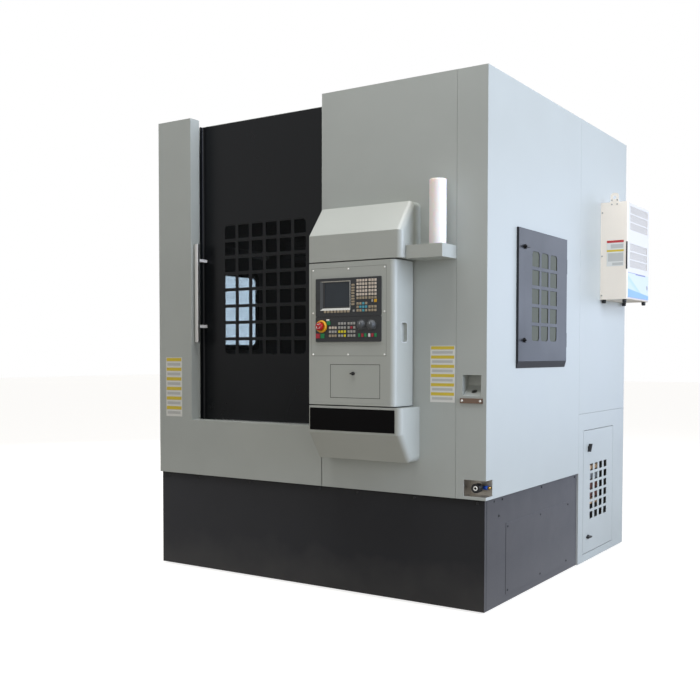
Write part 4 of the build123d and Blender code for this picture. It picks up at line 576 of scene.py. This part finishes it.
def override_knob(node, name, body):
    """A skirted knob with a fluted grip and one pointer line, over its plain solid."""
    low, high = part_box(node)
    x, z = (low.x + high.x) / 2, (low.z + high.z) / 2
    columns, flute_low, flute_high, flute = 48, 6 * MM, 19 * MM, 0.95
    knob = bmesh.new()
    turned(knob, [
        (0, 20), (14, 20), (16.5, 18.5), (18, 7), (21.5, 5), (23, 3.5), (23, 0.4), (0, 0.4),
    ], (0, 0, 0), UP, columns)
    for v in knob.verts:
        column = round(math.atan2(v.co.y, v.co.x) / (2 * math.pi / columns))
        if column % 2 and flute_low < v.co.z < flute_high:
            v.co.x *= flute
            v.co.y *= flute
    plate(knob, (-0.9 * MM, 3 * MM, 19.6 * MM), (0.9 * MM, 14 * MM, 20.4 * MM), 0.2, 1, 1)
    stand = Matrix.Translation((x, face_y, z)) @ Matrix.Rotation(QUARTER, 4, "X")
    bmesh.ops.transform(knob, matrix=stand, verts=knob.verts)
    piece = settle(knob, name, body, knob_grey, mark_white)
    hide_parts(node)
    return x, z


dials = [
    override_knob("override_knob_left", "fluted_knob_left", "knob_left"),
    override_knob("override_knob_right", "fluted_knob_right", "knob_right"),
]
bm = bmesh.new()
for x, z in dials:
    for degrees in range(-140, 141, 20):
        made = plate(bm, (-0.4 * MM, -0.3 * MM, 25 * MM), (0.4 * MM, 0.1 * MM, 27.5 * MM))
        place = Matrix.Translation((x, face_y, z)) @ Matrix.Rotation(math.radians(degrees), 4, "Y")
        bmesh.ops.transform(bm, matrix=place, verts=made)
settle(bm, "dial_ticks", "control", mark_white)

# %% [markdown]
# The recess in the control box's right side is the hand grip that swings it out. Its edge is rolled, and the
# light it catches is painted as a paler grey rim. A face with rounded corners is inset to a ring, and the
# ring gets a little thickness.
# The same ring later makes the rubber lip of the left window.

# %% Rim of the hand grip
def rounded_ring(bm, outer, half_y, half_z, corner, band, thick):
    """A flat ring with rounded corners that faces along X, thickened to the left of its middle."""
    stand = Matrix.Translation(outer) @ Matrix.Rotation(QUARTER, 4, "Y")
    size = Matrix.Diagonal((half_z, half_y, 1, 1))
    bmesh.ops.create_grid(bm, x_segments=1, y_segments=1, size=1, matrix=stand @ size)
    bmesh.ops.bevel(bm, geom=bm.verts[:], offset=corner * MM, segments=6, profile=0.5, affect="VERTICES")
    ring = bmesh.ops.inset_region(
        bm, faces=bm.faces[:], thickness=band * MM, use_boundary=True, use_even_offset=True,
    )["faces"]
    bmesh.ops.delete(bm, geom=[f for f in bm.faces if f not in ring], context="FACES_ONLY")
    bmesh.ops.solidify(bm, geom=ring, thickness=thick * MM)


box_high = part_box("control_box")[1]
grip_y, grip_z = -1.057, 1.35
bm = bmesh.new()
rounded_ring(bm, (box_high.x + 1 * MM, grip_y, grip_z), 34 * MM, 51.5 * MM, 18, 5, 1.2)
# The rolled edge is real; its paler grey paints the highlight that the edge catches.
rim_painted_highlight = powder_coat("powder_coat_paler_rim_highlight", "#c3c6c2", 0.35, peel_mm=2, shine=0.5)
settle(bm, "grip_rim", "control", rim_painted_highlight)

# %% [markdown]
# Button-head screws hold the front plate and the plinth. They are small, but each throws a bright point, so
# the photograph's screws are set where they are seen. Round the front plate and the flap runs the thin dark
# line of a gap; its shade is painted as four dark strips.

# %% Screws and seams
plate_low, plate_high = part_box("panel_plate")
left_x, right_x = plate_low.x + 8 * MM, plate_high.x - 10 * MM
upper_z, middle_z, lower_z = plate_high.z - 9 * MM, 1.449, plate_low.z + 6 * MM
bm = bmesh.new()
for x in (left_x, (plate_low.x + plate_high.x) / 2, right_x):
    for z in (upper_z, lower_z):
        dome_screw(bm, (x, plate_low.y, z), FRONT, 5)
for x in (left_x, right_x):
    dome_screw(bm, (x, plate_low.y, middle_z), FRONT, 5)
settle(bm, "plate_screws", "control", screw_nickel)


def seam(bm, low, high, width, finish=0):
    """Four thin strips round a box's front, painted shade standing for the dark line of the gap round a plate
    or a flap.
    """
    left, right = low.x - width * MM, high.x + width * MM
    lower, upper = low.z - width * MM, high.z + width * MM
    for x0, x1, z0, z1 in (
        (left, right, high.z, upper), (left, right, lower, low.z),
        (left, low.x, low.z, high.z), (high.x, right, low.z, high.z),
    ):
        plate(bm, (x0, low.y - 0.2 * MM, z0), (x1, low.y + 0.3 * MM, z1), 0, finish)


# The dark and grey strips are painted shade in the gaps; the dark finish is also the real rubber lip of the
# left window.
lip_and_gap_shade_dark = moulded("rubber_lip_and_painted_gap_shade", "#3a3b38", 0.6)
gap_shade_line_grey = moulded("painted_gap_shade_grey", "#70716b", 0.6)
bm = bmesh.new()
seam(bm, *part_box("pocket_flap"), 2.6, 0)
seam(bm, plate_low, plate_high, 1.4, 1)
settle(bm, "painted_gap_shade_lines", "control", lip_and_gap_shade_dark, gap_shade_line_grey)

plinth_low, plinth_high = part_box("plinth_panels")
plinth_row_z = 0.531
bm = bmesh.new()
for x in (-1.065, -0.83, -0.46, 0.01, 0.246, 0.58, 0.92):
    dome_screw(bm, (x, plinth_low.y, plinth_row_z), FRONT, 7)
for y, z in ((-0.844, 0.53), (-0.744, 0.53), (-0.784, 0.452), (-0.223, 0.53), (0.291, 0.53)):
    dome_screw(bm, (plinth_high.x, y, z), RIGHT, 7)
for y in (-0.844, -0.4, 0.05, 0.5, 0.95):
    dome_screw(bm, (plinth_low.x, y, plinth_row_z), LEFT, 7)
settle(bm, "plinth_screws", "machine", latch_black)

# %% [markdown]
# The plinth's right side has a removable cover and a corner strip, thin plates that show only as a fine
# outline and a few screws. The rear wall has two tall covers set flush, of which only the gap and the flat
# screws show; the shade in those gaps and in the joint above the plinth is painted as thin dark strips. The
# left wall's window sits in a rubber lip.

# %% Access covers
bm = bmesh.new()
for y0, y1, z0, z1, thick, edge in (
    (-0.7, 0.2, 0.045, 0.403, 1.6, 0.7), (-0.93, -0.806, 0.012, 0.545, 1.2, 0.5),
):
    plate(bm, (plinth_high.x, y0, z0), (plinth_high.x + thick * MM, y1, z1), edge)
for y, z in (
    (-0.678, 0.385), (-0.241, 0.385), (0.18, 0.385), (-0.678, 0.065), (-0.241, 0.065), (0.156, 0.065),
):
    dome_screw(bm, (plinth_high.x + 1.4 * MM, y, z), RIGHT, 6, 1)
settle(bm, "plinth_covers", "machine", plinth_black, latch_black)


def flat_screw(bm, start, axis, finish):
    """A flat countersunk head, almost flush."""
    turned(bm, [(0, 0.3), (2.6, 0.3), (2.8, 0.9), (6, 0.8), (7, 0), (0, 0)], start, axis, 16, finish)


rear_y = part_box("rear_wall")[1].y
line_low_y, line_high_y = rear_y - 0.3 * MM, rear_y + 0.2 * MM
z0, z1, gap, edge_in, screw_rows = 0.62, 2.42, 2.5 * MM, 18 * MM, 6
screw_z0, screw_z1 = z0 + edge_in, z1 - edge_in
bm = bmesh.new()
# Thin dark strips paint the shade in the gap round each cover.
for x0, x1 in ((-1.01, -0.15), (-0.09, 0.83)):
    for a, b, c, d in (
        (x0, x1, z0, z0 + gap), (x0, x1, z1 - gap, z1), (x0, x0 + gap, z0, z1), (x1 - gap, x1, z0, z1),
    ):
        plate(bm, (a, line_low_y, c), (b, line_high_y, d))
    for row in range(screw_rows):
        z = screw_z0 + (screw_z1 - screw_z0) * row / (screw_rows - 1)
        flat_screw(bm, (x0 + edge_in, rear_y, z), REAR, 1)
        flat_screw(bm, (x1 - edge_in, rear_y, z), REAR, 1)
    for z in (screw_z0, screw_z1):
        flat_screw(bm, ((x0 + x1) / 2, rear_y, z), REAR, 1)
wall_x0, wall_x1, plinth_line_z = -1.132, 0.968, 0.545
# A thin dark strip paints the shade in the joint above the plinth.
plate(bm, (wall_x0, line_low_y, plinth_line_z), (wall_x1, line_high_y, plinth_line_z + 2 * MM))
settle(bm, "rear_covers", "machine", lip_and_gap_shade_dark, screw_zinc)

glass_low, glass_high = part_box("left_window_glass")
glass_middle, glass_half = (glass_low + glass_high) / 2, (glass_high - glass_low) / 2
window_lap = 24 * MM
bm = bmesh.new()
rounded_ring(
    bm, (glass_low.x, glass_middle.y, glass_middle.z), glass_half.y - window_lap, glass_half.z - window_lap,
    40, 10, 2.5,
)
settle(bm, "window_lip", "machine", lip_and_gap_shade_dark)

# %% [markdown]
# The front of the lower cover carries a bare gloss-black acrylic strip. The three cards, two on the front and
# one on the cooling unit, are plain: a thin pale plate, with thinner plates on it as bands of colour.

# %% Black strip and plain cards
cover_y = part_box("control_base")[0].y
bare_x0, bare_x1, bare_z0, bare_z1 = 0.084, 0.577, 0.862, 0.974
bm = bmesh.new()
plate(bm, (bare_x0, cover_y - 2 * MM, bare_z0), (bare_x1, cover_y + 0.2 * MM, bare_z1), 0.9)
settle(bm, "cover_strip", "machine", strip_black)

card_tints = {"pale": "#dcdcd6", "yellow": "#d3bb3f", "grey": "#bdbdb8", "red": "#b9383a"}
card_finishes = [moulded("vinyl_card_" + name, shade, 0.5, 0.03) for name, shade in card_tints.items()]
front_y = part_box("cabinet_front")[0].y
cooler_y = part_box("ac_case")[0].y
PAPER, BAND, SHADE, STRIPE = range(4)
card_rows = 6
bm = bmesh.new()
for x0, x1, z0, z1 in ((-1.081, -0.956, 0.879, 1.225), (0.67, 0.803, 1.01, 1.285)):
    plate(bm, (x0, front_y - 0.5 * MM, z0), (x1, front_y + 0.1 * MM, z1), 0, PAPER)
    pitch = (z1 - z0 - 6 * MM) / card_rows
    for row in range(card_rows):
        top = z1 - 3 * MM - row * pitch
        for left_in, right_in, rise, upper, lower, tint in (
            (4, 4, 0.8, 0, 0.34, BAND), (10, 12, 0.7, 0.52, 0.8, SHADE),
        ):
            plate(
                bm, (x0 + left_in * MM, front_y - rise * MM, top - lower * pitch),
                (x1 - right_in * MM, front_y - 0.4 * MM, top - upper * pitch), 0, tint,
            )
for x0, x1, z0, z1, tint in (
    (1.006, 1.108, 1.777, 1.932, PAPER), (1.006, 1.108, 1.918, 1.932, STRIPE),
    (1.006, 1.108, 1.864, 1.876, BAND), (1.03, 1.106, 1.884, 1.909, SHADE),
    (1.014, 1.106, 1.806, 1.856, SHADE), (1.04, 1.104, 1.782, 1.798, SHADE),
):
    rise = 0.5 if tint == PAPER else 0.8
    plate(bm, (x0, cooler_y - rise * MM, z0), (x1, cooler_y + 0.1 * MM, z1), 0, tint)
settle(bm, "plain_cards", "machine", *card_finishes)

# %% [markdown]
# The cooling unit hangs on the electrics cabinet. It has a printed field of pale blue with a brighter wedge
# along its foot. The wedge and one soft stripe are heights measured against slanting lines, so the field
# needs no picture.

# %% Cooling unit's printed field
def field_blue():
    """A printed field: pale blue, a soft stripe that falls across it and a mid-blue wedge at the foot."""
    material, tree, shader = new_finish("printed_vinyl_blue")
    split = add_node(tree, "ShaderNodeSeparateXYZ", {"Vector": own_place(tree)})

    def above_line(slope, start, low, high):
        """How far a place is above a line that falls to the rear, from nought to one."""
        fall = reckon(tree, "MULTIPLY_ADD", (split, "Y"), slope, (split, "Z"))
        return spread(tree, fall, 0, 1, start + low, start + high)

    above_wedge = above_line(0.062, 1.684, -0.002, 0.002)
    above_stripe = above_line(0.36, 1.967, -0.03, 0.012)
    stripe = ramp(tree, above_stripe, linear("#aebfcb"), linear("#b7c2cd"))
    stripe[0].color_ramp.elements.new(0.7).color = linear("#93b6c6")
    field = add_node(tree, "ShaderNodeMixRGB", {
        "Fac": above_wedge, "Color1": linear("#5b94c8"), "Color2": stripe,
    })
    set_inputs(tree, shader, {"Base Color": (field, "Color"), "Roughness": 0.35})
    return material


# %% [markdown]
# On the unit sit the field and its lines, a lock, a dark strip at the edge, four rubber feet and a few
# screws. Its openings are cut in the solid, and a grille of upright slats stands in each.

# %% Cooling unit fittings
ac_low, ac_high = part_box("ac_case")
ac_depth = (ac_high.y - ac_low.y) / MM
ac_top = ac_low.z + 586 * MM
blue_field = field_blue()
grille_white = powder_coat("powder_coat_grille", "#c7c1b8", 0.45, peel_mm=2)
line_violet = moulded("printed_line_violet", "#6c719d", 0.4, 0.03)
FIELD, BLACK, METAL, LINE = range(4)


def side_plate(bm, x0, x1, y0, y1, z0, z1, edge=0, finish=0):
    """A plate on the unit's outer side: x from that side and y from the front in millimetres, z in metres."""
    low = ac_high.x + x0 * MM, ac_low.y + y0 * MM, z0
    plate(bm, low, (ac_high.x + x1 * MM, ac_low.y + y1 * MM, z1), edge, finish)


lock_y, lock_z = ac_depth - 42, 1.664
bm = bmesh.new()
side_plate(bm, -0.2, 0.3, 12, ac_depth - 8, 1.588, 1.738, 0, FIELD)
for y0, y1, z0, z1 in ((12, 166, 1.736, 1.739), (166, 378, 1.73, 1.739), (12, 432, 1.588, 1.591)):
    side_plate(bm, -0.1, 0.5, y0, y1, z0, z1, 0, LINE)
plate(
    bm, (ac_high.x - 10 * MM, ac_low.y - 0.8 * MM, 1.757), (ac_high.x - 1 * MM, ac_low.y + 1 * MM, 1.922),
    0.4, BLACK, 1,
)
lock = [(0, 0.9), (14, 0.9), (15, 0.5), (15, 0), (0, 0)]
turned(bm, lock, (ac_high.x, ac_low.y + lock_y * MM, lock_z), RIGHT, 28, METAL)
side_plate(bm, 0.5, 1.2, lock_y - 4, lock_y + 4, lock_z - 12 * MM, lock_z + 12 * MM, 0.3, BLACK)
foot = [(0, 22), (9, 22), (12, 19), (13, 3), (10, 0), (0, 0)]
for x in (ac_low.x + 16 * MM, ac_high.x - 24 * MM):
    for y in (ac_low.y + 26 * MM, ac_high.y - 26 * MM):
        turned(bm, foot, (x, y, ac_low.z), DOWN, 20, BLACK)
for z in (ac_low.z + 25 * MM, 1.84, ac_top - 60 * MM):
    dome_screw(bm, (ac_low.x + 9 * MM, ac_low.y, z), FRONT, 5, METAL)
eye_x = (ac_low.x + ac_high.x) / 2
for x in (eye_x - 16 * MM, eye_x + 16 * MM):
    for z in (ac_top - 13 * MM, ac_top + 12 * MM):
        dome_screw(bm, (x, ac_low.y, z), FRONT, 5, METAL)
settle(bm, "cooler_fittings", "machine", blue_field, latch_black, key_grey, line_violet)

grille_groups, grille_rows, grille_pitch = (190, 415), 3, 50
slat_count, slat_pitch, slat_width = 52, 7, 5.2
bm = bmesh.new()
for group in grille_groups:
    for row in range(grille_rows):
        z0 = ac_low.z + (group + grille_pitch * row + 3.5) * MM
        side_plate(bm, -8, -6, 44, ac_depth - 44, z0 - 4 * MM, z0 + 47 * MM, 0, 1)
        for slat in range(slat_count):
            y0 = 46.5 + slat_pitch * slat
            side_plate(bm, -6, -2, y0, y0 + slat_width, z0 - 2 * MM, z0 + 45 * MM)
settle(bm, "cooler_grille", "machine", grille_white, key_grey)

# %% [markdown]
# The air coupling in the corner is a black collar with a bright mouth, and out of it runs a blue push-in
# fitting with a brass end. In the pocket above, a sloping plate with a round hole holds the air gun. It is
# filled between a rectangle's edges and a circle's, and then thickened.

# %% Air fittings and gun rest
air_low, air_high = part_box("air_coupling")
air = (air_low + air_high) / 2
tube_y = air_high.y - 16 * MM
bm = bmesh.new()
turned(bm, [
    (7, 39), (13, 39), (14, 36), (22.4, 34), (23, 28), (21, 24), (23, 20), (21, 16), (23, 12), (22.4, -0.5),
    (12.5, -0.5),
], (air.x, air_high.y - 30 * MM, air.z), FRONT, 36, 0)
mouth = [(6.2, 0), (6.2, 1.5), (10, 1.5), (11.5, 0)]
turned(bm, mouth, (air.x, air_high.y - 69 * MM, air.z), FRONT, 28, 3)
push_in = [(0, 21), (8, 21), (9, 20), (9.5, 12), (9.5, 0), (0, 0)]
turned(bm, push_in, (air.x + 20 * MM, tube_y, air.z), RIGHT, 24, 1)
brass_end = [(0, 14), (5, 14), (7.5, 12), (7.5, 0), (0, 0)]
turned(bm, brass_end, (air.x + 41 * MM, tube_y, air.z), RIGHT, 24, 2)
fitting_blue = moulded("pbt_fitting_blue", "#1f4fb4", 0.35)
settle(bm, "air_fittings", "machine", latch_black, fitting_blue, coupling_brass, screw_nickel)

rest_run, rest_rise, rest_half_w = 66 * MM, 49 * MM, 47 * MM
rest_middle = Vector((0.8915, -0.9265, 1.0685))
hole_radius, hole_off = 14 * MM, -5 * MM
bm = bmesh.new()
lie = Matrix.Diagonal((rest_half_w, math.hypot(rest_run, rest_rise) / 2, 1, 1))
bmesh.ops.create_grid(bm, x_segments=1, y_segments=1, size=1, matrix=lie)
bmesh.ops.delete(bm, geom=bm.faces[:], context="FACES_ONLY")
bmesh.ops.create_circle(
    bm, cap_ends=False, radius=hole_radius, segments=28, matrix=Matrix.Translation((0, hole_off, 0)),
)
bmesh.ops.triangle_fill(bm, edges=bm.edges[:], use_beauty=True)
bmesh.ops.solidify(bm, geom=bm.faces[:], thickness=1.5 * MM)
tilt = Matrix.Rotation(math.atan2(rest_rise, rest_run), 4, "X")
bmesh.ops.transform(bm, matrix=Matrix.Translation(rest_middle) @ tilt, verts=bm.verts)
bar_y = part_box("corner_pockets")[0].y
bar_screw_z = 1.021
for x in (0.844, 0.939):
    dome_screw(bm, (x, bar_y, bar_screw_z), FRONT, 6, 1)
settle(bm, "gun_rest", "machine", enclosure_grey, screw_nickel)

# %% [markdown]
# Behind the door are the working parts. The chuck and the spindle housing show their bolts, and so do the
# jaws. None shows in the photograph through the dark panes, but the door opens.

# %% Chuck, jaws and housing bolts
chuck_low, chuck_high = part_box("chuck_body")
axis = (chuck_low + chuck_high) / 2


def outwards(angle, radius, height):
    """A place at an angle in degrees and a radius in millimetres round the spindle's axis."""
    turn = math.radians(angle)
    return axis.x + radius * MM * math.cos(turn), axis.y + radius * MM * math.sin(turn), height


bm = bmesh.new()
for angle in (30, 150, 270):
    for radius in (140, 180, 220, 260):
        dome_screw(bm, outwards(angle, radius, chuck_high.z), UP, 9)
settle(bm, "chuck_bolts", "spindle", screw_zinc)

jaw_step = 40 * MM
jaw_bolt = [(0, 0.5), (6, 0.5), (6.5, 8), (10.5, 8), (11, 7), (11, 0), (0, 0)]
for letter, angle in (("a", 90), ("b", 210), ("c", 330)):
    bm = bmesh.new()
    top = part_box("chuck_jaw_" + letter)[1].z
    for radius, height in ((145, top - jaw_step), (210, top), (240, top)):
        turned(bm, jaw_bolt, outwards(angle, radius, height), UP, 20)
    settle(bm, "jaw_bolts_" + letter, "jaw_" + letter, latch_black)

housing_top, housing_ring = 0.763, 232
bm = bmesh.new()
for angle in range(15, 360, 30):
    dome_screw(bm, outwards(angle, housing_ring, housing_top), UP, 10)
settle(bm, "housing_bolts", "machine", screw_zinc)

# %% [markdown]
# Each tool of the turret has a carbide tip and a clamp, and six screws hold the turret's front. A lamp tube
# stands off the left wall.

# %% Turret tips and the work lamp
turret_low, turret_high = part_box("turret_disc")
hub = (turret_low + turret_high) / 2
hub.y = turret_high.y - 65 * MM
tool_count, screw_count, screw_ring = 8, 6, 75 * MM
carbide = ground_steel("carbide_tips", "#c9a85a", 0.3, 3.0, "X")
bm = bmesh.new()
for step in range(tool_count):
    made = plate(bm, (262 * MM, -19 * MM, -6 * MM), (299 * MM, -15 * MM, 14 * MM), 0.8, 0)
    made += plate(bm, (241 * MM, -24 * MM, -24 * MM), (250 * MM, 24 * MM, 24 * MM), 2, 1)
    place = Matrix.Translation(hub) @ Matrix.Rotation(2 * math.pi * step / tool_count, 4, "Y")
    bmesh.ops.transform(bm, matrix=place, verts=made)
for step in range(screw_count):
    angle = 2 * math.pi * step / screw_count
    x, z = hub.x + screw_ring * math.cos(angle), hub.z + screw_ring * math.sin(angle)
    dome_screw(bm, (x, turret_low.y, z), FRONT, 9, 2)
settle(bm, "turret_tips", "turret", carbide, motor_black, screw_zinc)

lamp_glow = moulded("acrylic_work_lamp", "#f2f3ee", 0.3, 0.03)
wall_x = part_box("left_wall")[0].x
lamp_y, lamp_z = -0.6, 1.9
bm = bmesh.new()
turned(bm, [
    (0, 0), (30, 0), (32, 4), (32, 24), (26, 26), (26, 574), (32, 576), (32, 598), (30, 602), (0, 602),
], (wall_x + 60 * MM, lamp_y, lamp_z), REAR, 28, 0)
for y in (-0.58, -0.02):
    low = wall_x + 3 * MM, y - 12 * MM, lamp_z - 15 * MM
    plate(bm, low, (wall_x + 45 * MM, y + 12 * MM, lamp_z + 15 * MM), 2, 1)
settle(bm, "work_lamp", "machine", lamp_glow, slide_steel)

# %% [markdown]
# Cable ducts and rows of coloured switches fill the board between the modules. A strip of terminals stands
# close behind the vented door, where the photograph shows cream, grey and brown through the openings. A plate
# with three cable glands closes the cabinet's floor.

# %% Electrics behind the vents
board_low, board_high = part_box("electrics_board")
duct_grey = moulded("pvc_cable_duct", "#8f9394", 0.5)
switch_amber = moulded("abs_switch_amber", "#b9773a", 0.4)
board_rows, switches = 5, 6
row_pitch = (board_high.z - board_low.z) / board_rows
board_x = board_high.x - 191 * MM
bm = bmesh.new()
for row in range(board_rows):
    z = board_low.z + row * row_pitch
    plate(
        bm, (board_x, board_low.y + 10 * MM, z + 8 * MM),
        (board_x + 60 * MM, board_high.y - 10 * MM, z + 58 * MM), 2, 0,
    )
    for column in range(switches if row else 0):
        y = board_low.y + (60 + 105 * column) * MM
        plate(
            bm, (board_x, y, z - 58 * MM), (board_x + 45 * MM, y + 62 * MM, z - 14 * MM),
            2, 1 + (row + column) % 3,
        )
settle(bm, "cable_ducts", "machine", duct_grey, switch_amber, key_cream, mark_white)

block_sand = moulded("abs_terminal_sand", "#ecc79c", 0.4)
block_brown = moulded("abs_terminal_brown", "#7a4a3c", 0.45)
cabinet_low, cabinet_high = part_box("electrics_partition")
floor_top = cabinet_low.z + 20 * MM
gland_x = 0.7
gland = [(0, 30), (8, 30), (12, 26), (14, 10), (17, 8), (17, 0), (0, 0)]
bm = bmesh.new()
plate(
    bm, (cabinet_low.x + 3.5 * MM, cabinet_low.y + 3.5 * MM, floor_top - 4 * MM),
    (cabinet_high.x - 4 * MM, cabinet_high.y - 1 * MM, floor_top),
)
for y in (0.5, 0.58, 0.66):
    turned(bm, gland, (gland_x, y, floor_top), UP, 20, 1)
settle(bm, "gland_plate", "machine", inner_white, latch_black)

STEEL, DUCT, SAND, BROWN = range(4)
strip_x, strip_y, strip_top = 0.888, 0.668, 0.6
block_pitch, block_width, block_count = 42, 38, 4
bm = bmesh.new()
plate(
    bm, (strip_x - 4 * MM, strip_y + 66 * MM, floor_top - 1 * MM), (strip_x, strip_y + 98 * MM, strip_top),
    0.8, STEEL,
)
for z0, z1, tint in (
    (0.566, 0.59, DUCT), (0.532, 0.56, SAND), (0.472, 0.522, DUCT), (0.416, 0.46, BROWN),
    (0.362, 0.402, BROWN), (0.318, 0.344, SAND),
):
    for column in range(block_count):
        y = strip_y + block_pitch * column * MM
        plate(bm, (strip_x - 0.5 * MM, y, z0), (strip_x + 34 * MM, y + block_width * MM, z1), 1.5, tint)
    plate(
        bm, (strip_x - 1 * MM, strip_y, z0 + 8 * MM), (strip_x + 4 * MM, strip_y + 164 * MM, z1 - 8 * MM),
        0, STEEL,
    )
settle(bm, "terminal_strip", "machine", slide_steel, duct_grey, block_sand, block_brown)

# %% [markdown]
# The real sheets have folded edges with a small radius that catches the light. The solids are sharp, so the
# big panels get a narrow bevel as a modifier: the loose triangles are welded first, and only sharp edges
# are rounded.

# %% Soft edges on the folded sheets
soft_sheets = (
    "left_front_frame", "cabinet_front", "corner_panel", "right_side_panel", "electrics_upper_panel",
    "electrics_lower_panel", "lamp_tray", "pocket_flap", "vent_door", "plinth_panels", "side_door",
)
for name in soft_sheets:
    weld = nodes[name].modifiers.new("weld", "WELD")
    weld.merge_threshold = 0.02 * MM
    fold = nodes[name].modifiers.new("fold", "BEVEL")
    fold.width = 0.7 * MM
    fold.segments = 2
    fold.limit_method = "ANGLE"
    fold.angle_limit = math.radians(40)
print("sheets with soft edges:", len(soft_sheets))

# %% [markdown]
# The stage is a pale floor and a white world. Camera, mirror and glass rays see plain white, while the light
# that falls on the machine is kept lower, so that paints render about as they are written. The floor is a
# mix that stays near white and still keeps the shadow.

# %% Floor and world
floor_mesh = bpy.data.meshes.new("floor")
bm = bmesh.new()
bmesh.ops.create_grid(bm, x_segments=1, y_segments=1, size=40, matrix=Matrix.Translation((0, 0, -1 * MM)))
bm.to_mesh(floor_mesh)
bm.free()
floor = bpy.data.objects.new("floor", floor_mesh)
scene.collection.objects.link(floor)
floor_finish, tree, shader = new_finish("studio_floor_white")
rays = add_node(tree, "ShaderNodeLightPath")
seen = reckon(tree, "ADD", (rays, "Is Camera Ray"), (rays, "Is Transmission Ray"))
set_inputs(tree, shader, {
    "Base Color": linear("#a9a399"), "Roughness": 0.9, "Emission Color": linear("#ffffff"),
    "Emission Strength": reckon(tree, "MULTIPLY", seen, 0.78),
})
floor_mesh.materials.append(floor_finish)

world = bpy.data.worlds.new("studio")
scene.world = world
world.use_nodes = True
tree = world.node_tree
rays = add_node(tree, "ShaderNodeLightPath")
mirror = reckon(tree, "MAXIMUM", (rays, "Is Camera Ray"), (rays, "Is Glossy Ray"))
direct = reckon(tree, "MAXIMUM", mirror, (rays, "Is Transmission Ray"))
set_inputs(tree, tree.nodes["Background"], {
    "Color": linear("#ffffff"), "Strength": spread(tree, direct, 0.28, 1, 0, 1),
})
scene.view_settings.view_transform = "Standard"

# %% [markdown]
# The hall's daylight comes from the right and above, a little cool, and leaves the front in soft shade. A big
# area lamp to the right does most of it, a second at the right rear leaves a sheen on the black paint there,
# one overhead lights the slopes, and a weak warm one fills the front. The last stands behind on the left and
# lights the two walls that the photograph doesn't show.

# %% Lamps
def area_lamp(name, place, aim, size, power, tint):
    """A square soft lamp at a place, aimed at a point."""
    data = bpy.data.lights.new(name, "AREA")
    data.size = size
    data.energy = power
    data.color = linear(tint)[:3]
    lamp = bpy.data.objects.new(name, data)
    lamp.location = place
    lamp.rotation_euler = (Vector(aim) - Vector(place)).to_track_quat("-Z", "Y").to_euler()
    scene.collection.objects.link(lamp)


area_lamp("hall_daylight", (7.0, -0.8, 3.1), (0.9, 0, 1.1), 5.0, 590, "#d9e6ff")
area_lamp("rear_window", (4.8, 8.0, 1.6), (0.97, 0.2, 0.9), 4.0, 110, "#c9dcff")
area_lamp("hall_ceiling", (0.3, -1.6, 6.5), (0.2, -0.9, 1.5), 3.5, 265, "#ffffff")
area_lamp("front_fill", (3.2, -7.0, 3.2), (0, 0, 1.2), 4.0, 46, "#fffaf4")
area_lamp("left_fill", (-6.0, 5.0, 3.2), (-0.5, 0.4, 1.2), 4.0, 190, "#f4f6ff")
print("lamps:", len(bpy.data.lights))

# %% [markdown]
# The photograph was taken from the right front corner, about chest high, through a normal lens. The camera's
# place and turn were fitted to the machine's edges, and its shift moves the picture in the frame.

# %% Camera
camera_data = bpy.data.cameras.new("camera")
camera_data.sensor_width = 36
camera_data.lens = 49.70
camera_data.shift_x = 0.0492
camera_data.shift_y = 0.0566
camera = bpy.data.objects.new("camera", camera_data)
camera.location = (2.877, -5.181, 1.242)
camera.rotation_euler = (math.radians(87.92), 0, math.radians(34.38))
scene.collection.objects.link(camera)
scene.camera = camera

# %% [markdown]
